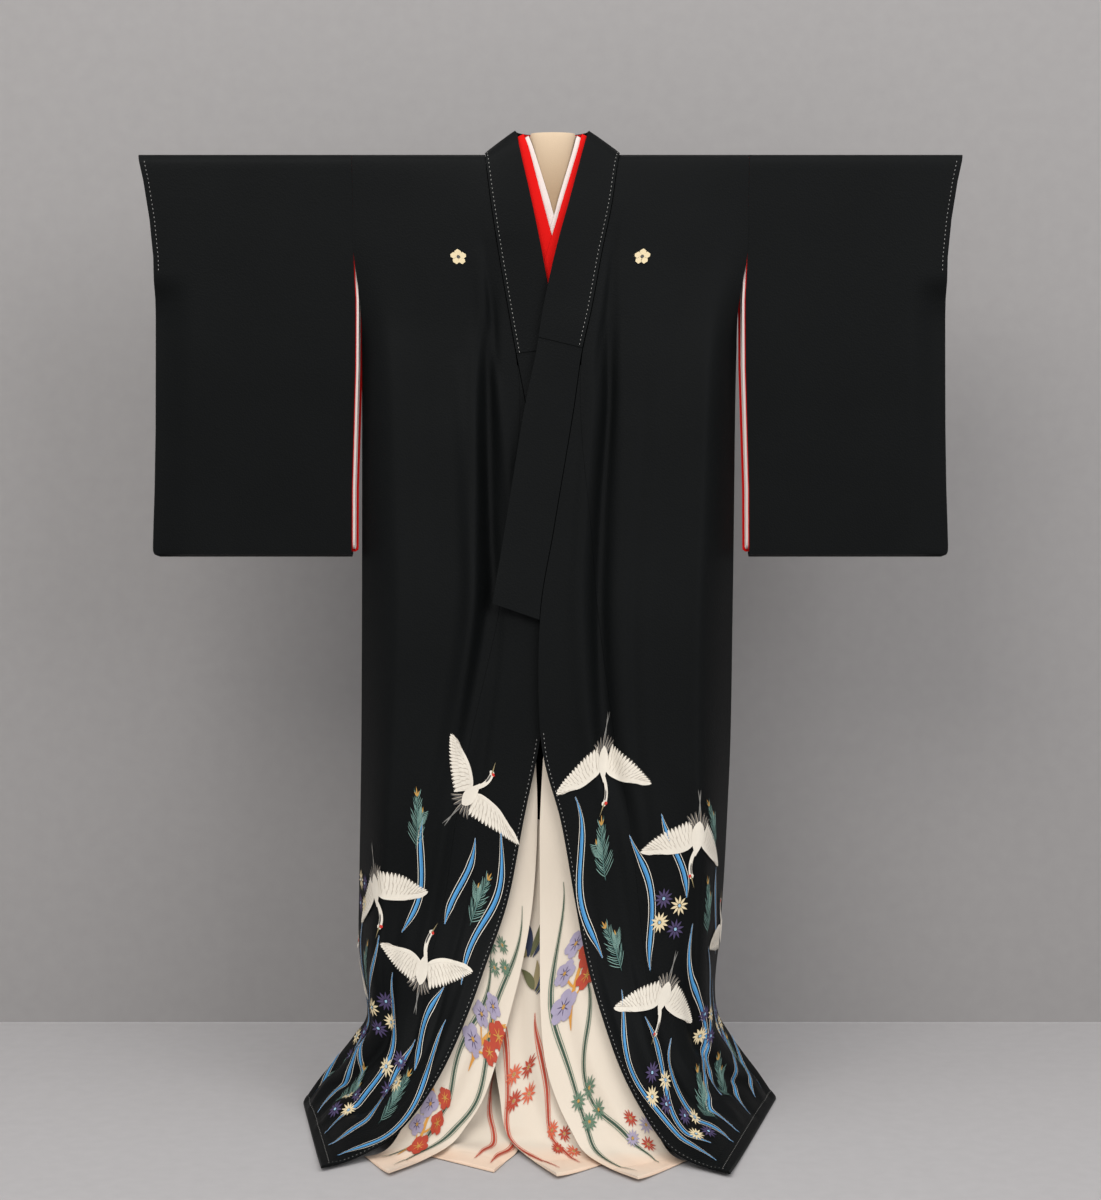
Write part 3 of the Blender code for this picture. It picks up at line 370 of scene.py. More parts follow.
class Cloth:
    """A sheet as a dense grid, with its normals and its lengths across and down."""

    def __init__(self, base, folds, facing, first_v=0.0):
        self.us = np.linspace(0, 1, COLUMNS)
        self.vs = np.linspace(first_v, 1, ROWS)
        points = np.array([[tuple(base(u, v)) for u in self.us] for v in self.vs])
        depth = wave_depth(folds, self.us, self.vs)
        points = points - grid_normals(points, facing) * depth[:, :, None]
        points[:, :, 2] = np.maximum(points[:, :, 2], CLOTH)
        normals = grid_normals(points, facing)
        low = soft(self.vs, *FACES_UP_V)[:, None, None]
        normals = normals * (1 - low) + np.array([0, 0, 1.0]) * low
        self.normals = normals / np.linalg.norm(normals, axis=2, keepdims=True)
        self.points = points
        step = np.linalg.norm(np.diff(points, axis=1), axis=2)
        self.across = np.concatenate([np.zeros((ROWS, 1)), np.cumsum(step, axis=1)], axis=1)
        step = np.linalg.norm(np.diff(points, axis=0), axis=2)
        self.down = np.concatenate([np.zeros((1, COLUMNS)), np.cumsum(step, axis=0)], axis=0)

    def cell(self, u, v):
        column = min(max((u - self.us[0]) / (self.us[-1] - self.us[0]), 0.0), 1.0) * (COLUMNS - 1)
        row = min(max((v - self.vs[0]) / (self.vs[-1] - self.vs[0]), 0.0), 1.0) * (ROWS - 1)
        i, j = min(int(row), ROWS - 2), min(int(column), COLUMNS - 2)
        return i, j, row - i, column - j

    def read(self, grid, u, v):
        i, j, s, t = self.cell(u, v)
        top = grid[i, j] * (1 - t) + grid[i, j + 1] * t
        low = grid[i + 1, j] * (1 - t) + grid[i + 1, j + 1] * t
        return top * (1 - s) + low * s

    def at(self, u, v, lift=0.0):
        return self.read(self.points, u, v) + self.read(self.normals, u, v) * lift

    def flat_to_uv(self, inward, height):
        """From lengths on the flat cloth, inward from the front edge and up from the hem."""
        total = self.across[:, -1]
        share = 1 - min(max(inward / total[-1], 0.0), 1.0)
        column = min(int(share * (COLUMNS - 1)), COLUMNS - 2)
        part = share * (COLUMNS - 1) - column
        run = self.down[:, column] * (1 - part) + self.down[:, column + 1] * part
        v = float(np.interp(run[-1] - height, run, self.vs))
        line, _, part, _ = self.cell(0, v)
        row = self.across[line] * (1 - part) + self.across[line + 1] * part
        u = float(np.interp(row[-1] - inward, row, self.us))
        return u, v


def make_object(name, vertices, faces, materials, indices=None, smooth_faces=True):
    mesh = bpy.data.meshes.new(name)
    mesh.from_pydata([tuple(float(c) for c in p) for p in vertices], [], faces)
    for material in materials:
        mesh.materials.append(material)
    if indices is not None:
        mesh.polygons.foreach_set("material_index", indices)
    mesh.validate()
    mesh.update()
    obj = bpy.data.objects.new(name, mesh)
    bpy.context.scene.collection.objects.link(obj)
    if smooth_faces:
        mesh.shade_smooth()
        mesh.set_sharp_from_angle(angle=math.radians(SHARP_DEGREES))
    return obj


def shell(name, outer, inner, material, closed_across=False):
    """Thin closed sheet between two grids of points."""
    outer, inner = np.asarray(outer), np.asarray(inner)
    rows, columns = outer.shape[:2]
    shift = rows * columns
    span = columns if closed_across else columns - 1
    faces = []
    for i in range(rows - 1):
        for j in range(span):
            k = (j + 1) % columns
            a, b, c, d = i * columns + j, i * columns + k, (i + 1) * columns + k, (i + 1) * columns + j
            faces += [(a, b, c, d), (shift + d, shift + c, shift + b, shift + a)]
    for j in range(span):
        k = (j + 1) % columns
        base = (rows - 1) * columns
        faces += [(k, j, shift + j, shift + k), (base + j, base + k, shift + base + k, shift + base + j)]
    if not closed_across:
        for i in range(rows - 1):
            a, b = i * columns, (i + 1) * columns
            c, d = a + columns - 1, b + columns - 1
            faces += [(a, b, shift + b, shift + a), (d, c, shift + c, shift + d)]
    vertices = np.concatenate([outer.reshape(-1, 3), inner.reshape(-1, 3)])
    obj = make_object(name, vertices, faces, [material])
    turn_outwards(obj.data)
    return obj


def turn_outwards(mesh):
    volume = 0.0
    for polygon in mesh.polygons:
        corners = [mesh.vertices[i].co for i in polygon.vertices]
        for second, third in zip(corners[1:-1], corners[2:]):
            volume += corners[0].dot(second.cross(third))
    if volume < 0:
        mesh.flip_normals()


# Materials
def new_material(name):
    material = bpy.data.materials.new(name)
    material.use_nodes = True
    return material, material.node_tree, material.node_tree.nodes["Principled BSDF"]


def set_inputs(tree, node, inputs):
    """Sets a node's inputs, each to a value or linked from a socket."""
    for key, value in inputs.items():
        if isinstance(value, bpy.types.NodeSocket):
            tree.links.new(value, node.inputs[key])
        else:
            node.inputs[key].default_value = value


def add_node(tree, kind, inputs=None, **settings):
    node = tree.nodes.new("ShaderNode" + kind)
    for key, value in settings.items():
        setattr(node, key, value)
    set_inputs(tree, node, inputs or {})
    return node


def noise_node(tree, scale, detail=2.0):
    place = add_node(tree, "TexCoord").outputs["Object"]
    return add_node(tree, "TexNoise", {"Vector": place, "Scale": scale, "Detail": detail})


def mixed(tree, share, first, second):
    """Socket with a colour between two others."""
    mix = add_node(tree, "Mix", {"Factor": share, "A": first, "B": second}, data_type="RGBA")
    return mix.outputs["Result"]


def bumped(tree, height, strength, distance):
    relief = add_node(tree, "Bump", {"Height": height, "Strength": strength, "Distance": distance})
    return relief.outputs["Normal"]


def crepe(name, dark, light, grain=900.0, bump=0.25, rough=(0.62, 0.8), sheen=0.25, patch=7.0,
          gloss_level=0.35):
    """Silk with a fine pebbled grain, slow changes of tone and a soft sheen."""
    material, tree, shader = new_material(name)
    place = add_node(tree, "TexCoord").outputs["Object"]
    slow = noise_node(tree, patch, 4.0).outputs["Fac"]
    fine = noise_node(tree, grain).outputs["Fac"]
    weave = add_node(tree, "TexVoronoi", {"Vector": place, "Scale": grain * 0.7})
    part = add_node(tree, "Math", {0: fine, 1: 0.4}, operation="MULTIPLY")
    blend = add_node(tree, "Math", {0: slow, 1: 0.6, 2: part.outputs[0]}, operation="MULTIPLY_ADD")
    gloss = add_node(tree, "MapRange", {"Value": fine, "To Min": rough[0], "To Max": rough[1]})
    set_inputs(tree, shader, {
        "Base Color": mixed(tree, blend.outputs[0], (*dark, 1), (*light, 1)),
        "Roughness": gloss.outputs["Result"],
        "Normal": bumped(tree, weave.outputs["Distance"], bump, 0.0004),
        "Specular IOR Level": gloss_level,
        "Sheen Weight": sheen,
        "Sheen Roughness": 0.4,
    })
    return material


BLACK = crepe("black_crepe", (0.0014, 0.0017, 0.0018), (0.0042, 0.0049, 0.0049), grain=520, bump=0.55,
              rough=(0.46, 0.62), sheen=0.0, gloss_level=0.085)
RED = crepe("red_silk", (0.60, 0.004, 0.003), (0.76, 0.008, 0.006), grain=1400, bump=0.12, sheen=0.0,
            gloss_level=0.08)
WHITE = crepe("white_silk", (0.70, 0.60, 0.55), (0.79, 0.69, 0.64), grain=1400, bump=0.12, sheen=0.03)
CREAM = crepe("cream_silk", (0.66, 0.565, 0.455), (0.76, 0.665, 0.545), grain=1200, bump=0.15, sheen=0.1)


def with_tint_and_shade_below(material, tint, height=0.012, low_end=0.003):
    """Colour that blends towards another one below a height: the warmer padded hem of the cream cloth on the
    floor, and painted shade on the lower part of the neck form.
    """
    tree = material.node_tree
    shader = tree.nodes["Principled BSDF"]
    before = shader.inputs["Base Color"].links[0].from_socket
    place = add_node(tree, "TexCoord").outputs["Object"]
    split = add_node(tree, "SeparateXYZ", {0: place})
    low = add_node(tree, "MapRange", {"Value": split.outputs["Z"], "From Min": height, "From Max": low_end})
    set_inputs(tree, shader, {"Base Color": mixed(tree, low.outputs["Result"], before, (*tint, 1))})


with_tint_and_shade_below(CREAM, (0.84, 0.62, 0.46))


# Outer body
def folds_of(panel):
    return [row[1:] for row in FOLDS if row[0] == panel]


# Creases that only the cloth shells carry, with the same columns as the folds and no panel name
RIGHT_CREASES = [
    (0.985, 0.18, 0.47, 0.58, 0.011, 0.05), (0.895, 0.19, 0.38, 0.6, -0.01, 0.055),
    (0.62, 0.3, 0.48, 0.72, -0.005, 0.04), (0.92, 0.16, 0.86, 0.34, 0.0025, 0.025),
    (0.86, 0.24, 0.82, 0.5, -0.0025, 0.03), (0.76, 0.3, 0.72, 0.6, -0.003, 0.035),
    (0.7, 0.44, 0.76, 0.86, 0.0035, 0.035), (0.4, 0.2, 0.38, 0.5, 0.0018, 0.06),
    (0.22, 0.26, 0.2, 0.6, -0.002, 0.05), (0.08, 0.7, 0.05, 0.99, 0.006, 0.03),
    (0.2, 0.78, 0.17, 0.99, -0.006, 0.035), (0.34, 0.76, 0.36, 0.98, 0.0055, 0.035),
    (0.46, 0.8, 0.48, 0.99, -0.0045, 0.04), (0.9, 0.52, 0.88, 0.9, -0.003, 0.04),
]
LEFT_CREASES = [
    (0.945, 0.17, 0.56, 0.6, 0.012, 0.046), (1, 0.24, 0.68, 0.58, -0.006, 0.05),
    (0.56, 0.32, 0.46, 0.7, 0.005, 0.04), (0.92, 0.15, 0.88, 0.36, 0.002, 0.025),
    (0.78, 0.26, 0.68, 0.52, -0.0028, 0.035), (0.72, 0.4, 0.66, 0.7, 0.0032, 0.03),
    (0.66, 0.5, 0.74, 0.88, -0.003, 0.04), (0.42, 0.18, 0.44, 0.46, 0.0015, 0.06),
    (0.2, 0.3, 0.18, 0.62, -0.0022, 0.045), (0.07, 0.72, 0.06, 0.99, 0.0055, 0.028),
    (0.18, 0.74, 0.15, 0.98, -0.0055, 0.032), (0.33, 0.78, 0.34, 0.99, 0.006, 0.036),
    (0.47, 0.74, 0.5, 0.97, -0.005, 0.038), (0.88, 0.5, 0.9, 0.88, 0.003, 0.04),
]
BACK_CREASES = [
    (0.08, 0.5, 0.06, 0.98, 0.005, 0.022), (0.22, 0.3, 0.2, 0.8, -0.003, 0.03),
    (0.36, 0.55, 0.35, 0.98, 0.0045, 0.026), (0.52, 0.2, 0.53, 0.6, -0.002, 0.03),
    (0.56, 0.62, 0.57, 0.99, 0.005, 0.024), (0.7, 0.4, 0.71, 0.9, -0.0035, 0.028),
    (0.84, 0.6, 0.86, 0.98, 0.0048, 0.024), (0.94, 0.66, 0.95, 0.99, -0.0035, 0.02),
]
HALF_SEAM_U = 0.0006
OKUMI_STARTS_BELOW = 0.996

FRONTS = {
    "right": Cloth(lambda u, v: front_base(RIGHT_FRONT, u, v), folds_of("right_front") + RIGHT_CREASES, -1),
    "left": Cloth(lambda u, v: front_base(LEFT_FRONT, u, v), folds_of("left_front") + LEFT_CREASES, 1),
}
BACK = Cloth(back_base, folds_of("back") + BACK_CREASES, 1)


def okumi_share(v):
    position = v * SECTIONS - OKUMI_FIRST
    if position < -1:
        return 1.0
    return sample([(1.0,)] + [(s,) for s in OKUMI_SEAM], position + 1)[0]


def hem_roll(v, share=1.0):
    t = (v - ROLL_FROM_V) / (1 - ROLL_FROM_V)
    return ROLL_THICK * math.sqrt(max(0.0, math.sin(math.pi * min(1.0, 0.5 * t)))) * share if t > 0 else 0.0


def cut(name, cloth, rows, columns_at, material, roll_at=None):
    """A sheet cut from a cloth grid."""
    outer, inner = [], []
    for v in rows:
        top, under = [], []
        for u in columns_at(v):
            point, normal = cloth.at(u, v), cloth.read(cloth.normals, u, v)
            roll = hem_roll(v, 1.0 if roll_at is None else roll_at(u))
            if v >= 1.0:
                roll *= LAST_ROLL_SHARE
            top.append(point + normal * roll)
            low = point - normal * SHEET_THICK
            low[2] = max(low[2], 0.0)
            under.append(low)
        outer.append(top)
        inner.append(under)
    return shell(name, outer, inner, material)


ROW_VS = list(np.linspace(0, 0.95, 190)) + list(np.linspace(0.954, 1.0, 16))


def span(low, high, count):
    return [low + (high - low) * k / (count - 1) for k in range(count)]


def finish_sheet(obj, node):
    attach(obj, "root")
    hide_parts(node)


def body_share(v):
    share = okumi_share(v)
    return share - HALF_SEAM_U if share < 1 else share


def body():
    okumi_rows = [v for v in ROW_VS if okumi_share(v) + HALF_SEAM_U < OKUMI_STARTS_BELOW]
    for label, cloth in FRONTS.items():
        obj = cut("cloth_front_" + label, cloth, ROW_VS,
                  lambda v: span(0, body_share(v), FRONT_POINTS), BLACK)
        finish_sheet(obj, "front_" + label)
        obj = cut("cloth_okumi_" + label, cloth, okumi_rows,
                  lambda v: span(okumi_share(v) + HALF_SEAM_U, 1, OKUMI_POINTS), BLACK)
        finish_sheet(obj, "okumi_" + label)
    for label, low, high in (("right", 0.0, 0.5 - HALF_SEAM_U / 2), ("left", 0.5 + HALF_SEAM_U / 2, 1.0)):
        obj = cut("cloth_back_" + label, BACK, ROW_VS, lambda v: span(low, high, BACK_POINTS), BLACK)
        finish_sheet(obj, "back_" + label)


body()


# Lower layers' fronts
UNDER_CREASES = {
    "middle_front_right": [(0.75, 0.55, 0.62, 0.97, 0.0035, 0.14), (0.35, 0.6, 0.45, 0.98, -0.0035, 0.12)],
    "middle_front_left": [(0.70, 0.56, 0.55, 0.98, 0.0045, 0.12), (0.40, 0.62, 0.30, 0.97, -0.0040, 0.12)],
    "inner_front_right": [(0.5, 0.78, 0.5, 0.99, -0.0015, 0.15)],
    "inner_front_left": [(0.62, 0.62, 0.50, 0.98, 0.0040, 0.12), (0.30, 0.66, 0.35, 0.97, -0.0030, 0.10)],
}
UNDER_SPECS = {
    "middle_front_right": (MIDDLE_FRONT_RIGHT, FRONTS["right"], -1),
    "middle_front_left": (MIDDLE_FRONT_LEFT, FRONTS["left"], 1),
    "inner_front_right": (INNER_FRONT_RIGHT, "middle_front_right", -1),
    "inner_front_left": (INNER_FRONT_LEFT, "middle_front_left", 1),
}
UNDERS = {}
EXTRA_BEHIND = 0.002


def hidden_point(spec, over, v, edge):
    """Hidden side of a lower front, behind the panel above it."""
    first = spec["first"] / SECTIONS
    t = (v - first) / (1 - first)
    near, far = spec["over_u"]
    over_u = near + (far - near) * smooth(0, 0.35, t)
    over_v = min(v, HEM_TURN_V) + (spec["over_v"] - HEM_TURN_V) * max(0.0, v - HEM_TURN_V) / (1 - HEM_TURN_V)
    if isinstance(over, str):
        cloth, over_u = UNDERS[over], 1 - over_u * 0.22
    else:
        cloth = over
    point = Vector(cloth.at(over_u, over_v))
    normal = Vector(cloth.read(cloth.normals, over_u, over_v))
    behind = EXTRA_BEHIND * (1 - smooth(0.6, 0.9, t))
    hidden = point - normal * (behind + spec["behind"] + (LAYER_REST - spec["behind"]) * smooth(0.3, 0.8, t))
    hidden.z = CLOTH + (min(hidden.z, edge.z + 0.01) - CLOTH) * (1 - smooth(0.72, 0.97, t))
    return hidden


def under_base(spec, over):
    cache = {}

    def base(u, v):
        if v not in cache:
            edge = Vector(sample(spec["edge"], v * SECTIONS - spec["first"]))
            cache[v] = (edge, hidden_point(spec, over, v, edge))
        edge, hidden = cache[v]
        rise = u ** (1 + 3 * smooth(0.86, 0.97, v))
        point = hidden.lerp(edge, u)
        point.z = hidden.z + (edge.z - hidden.z) * rise
        point.y += 0.003 * math.sin(math.pi * u) * (1 - smooth(0.8, 0.97, v))
        return point

    return base


def unders():
    for node, (spec, over, facing) in UNDER_SPECS.items():
        first = spec["first"] / SECTIONS
        UNDERS[node] = Cloth(under_base(spec, over), UNDER_CREASES[node], facing, first)
        rows = [first] + [v for v in ROW_VS if v > first + 1e-3]
        obj = cut("cloth_" + node, UNDERS[node], rows, lambda v: span(0, 1, UNDER_POINTS), CREAM,
                  roll_at=lambda u: smooth(0.1, 0.5, u))
        finish_sheet(obj, node)


unders()


# Collars
def with_way_out(lines):
    """Each pair of points of a band's two lines, with the way out of the band there."""
    for i, (seam, free) in enumerate(lines):
        before, after = lines[max(0, i - 1)], lines[min(len(lines) - 1, i + 1)]
        along = ((after[0] + after[1]) - (before[0] + before[1])).normalized()
        yield seam, free, (free - seam).normalized().cross(along).normalized()


def band(name, lines, thick, lift, material, parts=6, ease=0.0):
    """Band between pairs of lines, seam first and free edge second, moved out by lift."""
    outer, inner = [], []
    for seam, free, normal in with_way_out(lines):
        row_out, row_in = [], []
        for k in range(parts + 1):
            t = k / parts
            crown = ease * math.sin(math.pi * t)
            edge = min(1.0, 8 * min(t, 1 - t) + 0.35)
            point = seam.lerp(free, t)
            row_out.append(tuple(point + normal * (lift - thick * (1 - edge) / 2 + crown)))
            row_in.append(tuple(point + normal * (lift - thick + thick * (1 - edge) / 2)))
        outer.append(row_out)
        inner.append(row_in)
    return shell(name, outer, inner, material)


def front_line(label, edges, vs, skew=0.0):
    """Pairs of seam and free edge, the last ones slanted up towards the free edge by skew."""
    cloth = FRONTS[label]
    lines = []
    for v in vs:
        free_v = v - skew * smooth(vs[-1] - 0.04, vs[-1], v)
        lines.append((Vector(cloth.at(1.0, v)), Vector(sample(edges, free_v * SECTIONS))))
    return lines


def neck_lines():
    edges = [(0.0, *COLLAR_RIGHT_EDGE[0])] + COLLAR_NECK_EDGE + [(1.0, *COLLAR_LEFT_EDGE[0])]
    lines = []
    for share in span(0, 1, NECK_POINTS)[1:-1]:
        seam = Vector(back_base(0.5 + (share - 0.5) * NECKLINE_SHARE, 0.0))
        position = next(i for i in range(len(edges) - 1) if edges[i + 1][0] >= share)
        t = (share - edges[position][0]) / (edges[position + 1][0] - edges[position][0])
        lines.append((seam, Vector(sample([e[1:] for e in edges], position + t))))
    return lines


def outer_collar_lines(end_right, end_left, skew=(0.0, 0.0)):
    right = front_line("right", COLLAR_RIGHT_EDGE, span(0, end_right, COLLAR_POINTS), skew[0])
    left = front_line("left", COLLAR_LEFT_EDGE, span(0, end_left, COLLAR_POINTS), skew[1])
    lines = list(reversed(right)) + neck_lines() + left
    return [(s + (f - s).normalized() * (SEAM_GAP + SHEET_THICK), f) for s, f in lines]


def collars():
    lines = outer_collar_lines(COLLAR_SECTIONS / SECTIONS, COLLAR_SECTIONS / SECTIONS)
    obj = band("cloth_collar", lines, COLLAR_THICK, COLLAR_LIFT, BLACK, ease=COLLAR_EASE)
    finish_sheet(obj, "collar")
    cover = outer_collar_lines(*OVERCOLLAR_ENDS)
    lift = COLLAR_LIFT + LAYER_GAP + OVERCOLLAR_THICK
    obj = band("cloth_overcollar", cover, OVERCOLLAR_THICK, lift, BLACK, ease=COLLAR_EASE)
    finish_sheet(obj, "overcollar")
    for node, table, material, slot in (
        ("middle_collar", MIDDLE_COLLAR, RED, "red_silk"),
        ("inner_collar", INNER_COLLAR, WHITE, "white_silk"),
    ):
        rows = [sample(table, k / 8) for k in range(8 * len(table) - 7)]
        lines = [(Vector(row[3:]), Vector(row[:3])) for row in rows]
        obj = band("cloth_" + node, lines, LOWER_COLLAR_THICK, 0.0, material, parts=4, ease=0.0003)
        finish_sheet(obj, node)


collars()


# Sleeves
def smooth_sleeve(loops, splits):
    """Loops with more points along and across, on curves through the given ones."""
    loops = np.array([[tuple(p) for p in loop] for loop in loops])
    count = loops.shape[1]
    fine = []
    for k in np.linspace(0, count, count * splits, endpoint=False):
        i, t = int(k), k - int(k)
        fine.append(loops[:, i % count] * (1 - t) + loops[:, (i + 1) % count] * t)
    return np.stack(fine, axis=1)


def sleeves():
    layers = (
        ("sleeve", "black_silk", BLACK, 0, 0.0, 0.0, 1.0, SLEEVE_BOTTOM_Z, (0.34, 1.30)),
        ("middle_sleeve", "red_silk", RED, 1, 0.0012, 0.0090, 0.80, SLEEVE_BOTTOM_Z + 0.006, (0.28, 1.28)),
        ("inner_sleeve", "white_silk", WHITE, 2, 0.0045, 0.0055, 0.78, SLEEVE_BOTTOM_Z + 0.008, (0.28, 1.27)),
    )
    for label, sign in (("right", -1), ("left", 1)):
        for name, slot, material, depth, front_x, back_x, reach, bottom, flat in layers:
            inset = depth * (CLOTH + LAYER_GAP)
            outer, inner = [], []
            for share in span(0, reach, SLEEVE_POINTS):
                closed = smooth(0.80, 0.99, share) if depth == 0 else 0.0
                outer.append(sleeve_loop(sign, share, inset, bottom, closed, front_x, back_x))
                inner.append(sleeve_loop(sign, share, inset + SHEET_THICK, bottom, closed, front_x, back_x))
            outer, inner = smooth_sleeve(outer, 3), smooth_sleeve(inner, 3)
            obj = shell("cloth_" + name + "_" + label, outer, inner, material, closed_across=True)
            finish_sheet(obj, name + "_" + label)


sleeves()


# Painted decoration, as thin shapes just above the cloth
PAINT_LIFT = 0.0012
PAINT_STEP = 0.00016
PAINT_CELL = 0.004
PAINT_COLOURS = {
    "white": (0.80, 0.73, 0.62),
    "shade": (0.47, 0.40, 0.32),
    "line": (0.22, 0.21, 0.19),
    "plume": (0.085, 0.078, 0.070),
    "crown": (0.62, 0.025, 0.015),
    "beak": (0.30, 0.24, 0.12),
    "blue": (0.09, 0.33, 0.62),
    "pale_blue": (0.30, 0.50, 0.66),
    "deep_blue": (0.035, 0.20, 0.45),
    "pine": (0.07, 0.16, 0.14),
    "pale_pine": (0.20, 0.34, 0.29),
    "ochre": (0.50, 0.27, 0.06),
    "cream": (0.76, 0.62, 0.38),
    "purple": (0.065, 0.045, 0.115),
    "green": (0.040, 0.080, 0.050),
    "pale_green": (0.12, 0.20, 0.13),
    "red": (0.46, 0.055, 0.025),
    "pink": (0.66, 0.13, 0.06),
    "lilac": (0.37, 0.32, 0.43),
    "stem": (0.66, 0.30, 0.05),
    "olive": (0.12, 0.12, 0.05),
    "navy": (0.03, 0.04, 0.08),
    "thread": (0.30, 0.29, 0.27),
}
PAINT_NAMES = list(PAINT_COLOURS)
PAINT_MATERIALS = [
    crepe("paint_" + name, [c * 0.86 for c in colour], [min(1, c * 1.08) for c in colour],
          grain=1000, bump=0.2, sheen=0.02, patch=45)
    for name, colour in PAINT_COLOURS.items()
]


def bent(start, angle, length, bend=0.0, parts=8):
    """Path from a start point, turning by bend along its length."""
    path, point, step = [start], start, length / parts
    for k in range(parts):
        heading = angle + bend * (k + 0.5) / parts
        point = (point[0] + step * math.cos(heading), point[1] + step * math.sin(heading))
        path.append(point)
    return path


def headings(path):
    count = len(path)
    result = []
    for i in range(count):
        a, b = path[max(0, i - 1)], path[min(count - 1, i + 1)]
        length = math.hypot(b[0] - a[0], b[1] - a[1]) or 1.0
        result.append(((b[0] - a[0]) / length, (b[1] - a[1]) / length))
    return result


def parallel(path, offset):
    return [(p[0] - h[1] * offset, p[1] + h[0] * offset) for p, h in zip(path, headings(path))]


def leaf_width(t):
    return max(0.06, math.sin(math.pi * t ** 0.75))


def round_width(t):
    return max(0.05, math.sqrt(max(0.0, 1 - (2 * t - 1) ** 2)))


def even_width(t):
    return 1.0


def feather_width(t):
    if t < 0.85:
        return 0.55 + 0.45 * math.sin(math.pi * min(1.0, t + 0.15))
    return max(0.12, 3.3 * (1 - t) + 0.12)


def point_width(t):
    return 1 - 0.9 * t


def brush_width(t):
    return min(1.0, 0.15 + 5 * t, 0.15 + 4 * (1 - t))


class Paint:
    """Collects painted strips on one cloth, in flat lengths, and makes one mesh of them."""

    def __init__(self, name, place):
        self.name, self.place = name, place
        self.vertices, self.faces, self.kinds = [], [], []
        self.pose = (0.0, 0.0, 0.0, 1.0, 1.0)

    def stand_at(self, x, y, angle, size, mirror=1.0):
        self.pose = (x, y, math.radians(angle), size, mirror)

    def flat(self, point):
        x, y, angle, size, mirror = self.pose
        px, py = point[0] * size * mirror, point[1] * size
        cosine, sine = math.cos(angle), math.sin(angle)
        return (x + px * cosine - py * sine, y + px * sine + py * cosine)

    def strip(self, path, width, colour, layer=0, profile=even_width):
        width *= self.pose[3]
        path = [self.flat(p) for p in path]
        length = sum(math.dist(a, b) for a, b in zip(path, path[1:]))
        parts = max(3, min(140, int(length / PAINT_CELL)), len(path) if width > 0.002 else 3)
        path = [sample(path, k * (len(path) - 1) / parts) for k in range(parts + 1)]
        columns = max(1, math.ceil(width / PAINT_CELL))
        lift = PAINT_LIFT + PAINT_STEP * layer
        first = len(self.vertices)
        for k, (point, heading) in enumerate(zip(path, headings(path))):
            half = 0.5 * width * profile(k / parts)
            for j in range(columns + 1):
                side = half * (2 * j / columns - 1)
                spot = (point[0] - heading[1] * side, point[1] + heading[0] * side)
                self.vertices.append(self.place(*spot, lift))
        for k in range(parts):
            for j in range(columns):
                a = first + k * (columns + 1) + j
                self.faces.append((a, a + 1, a + columns + 2, a + columns + 1))
                self.kinds.append(PAINT_NAMES.index(colour))

    def disc(self, x, y, radius, colour, layer=0):
        self.strip([(x - radius, y), (x, y), (x + radius, y)], 2 * radius, colour, layer, round_width)

    def finish(self):
        obj = make_object(self.name, self.vertices, self.faces, PAINT_MATERIALS, self.kinds, False)
        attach(obj, "root")


def wing(paint, shoulder, angle, side, reach):
    """Spread wing: flight feathers behind a curved arm, with two rows of shorter ones over them."""
    arm = bent(shoulder, angle + 0.40 * side, 0.44 * reach, -0.75 * side, 8)
    rows = ((17, 0.26, 0.058, 1, 1.35), (13, 0.16, 0.052, 3, 1.30), (10, 0.085, 0.046, 5, 1.20))
    for count, length, width, layer, spread in rows:
        for k in range(count):
            t = k / (count - 1)
            base = sample(arm, 8 * min(0.999, 0.06 + 0.94 * t))
            heading = angle - side * (spread * (1 - t) ** 0.8 + 0.12)
            size = length * reach * (1 - 0.34 * t + 0.10 * math.sin(3.1 * t))
            path = bent(base, heading, size, -0.22 * side, 6)
            paint.strip(path, width, "white", layer, feather_width)
            paint.strip(parallel(path, 0.020)[2:], 0.0045, "shade", layer + 1, brush_width)
    paint.strip(arm, 0.040, "white", 7, brush_width)


def crane(paint, x, y, size, angle, mirror, left=1.35, right=-1.30, neck=0.9):
    """Flying crane seen from above or below, its head along its own first axis."""
    paint.stand_at(x, y, angle, size, mirror)
    for k in (-1, 1):
        leg = bent((-0.16, 0.012 * k), math.pi + 0.03 * k, 0.34, 0.10 * k, 6)
        paint.strip(leg, 0.010, "line", 0, brush_width)
    for k in range(-3, 4):
        path = bent((-0.09, 0.016 * k), math.pi - 0.16 * k, 0.19 - 0.012 * abs(k), -0.12 * k, 6)
        paint.strip(path, 0.034, "plume", 1, leaf_width)
        paint.strip(parallel(path, 0.010), 0.006, "shade", 2, brush_width)
    wing(paint, (0.05, -0.03), right, 1, 0.94)
    wing(paint, (0.06, 0.03), left, -1, 1.0)
    paint.strip(bent((-0.17, 0.0), 0.0, 0.35, 0.0, 8), 0.135, "white", 8, leaf_width)
    throat = bent((0.12, 0.0), 0.55 * neck, 0.27, -neck, 8)
    paint.strip(throat, 0.040, "white", 9, even_width)
    paint.strip(parallel(throat, -0.008)[4:], 0.016, "plume", 10, brush_width)
    head = throat[-1]
    paint.disc(head[0], head[1], 0.030, "white", 10)
    paint.disc(head[0] + 0.002, head[1] + 0.014, 0.019, "crown", 11)
    paint.strip(bent(head, -0.45 * neck, 0.125, 0.0, 4), 0.017, "beak", 11, point_width)


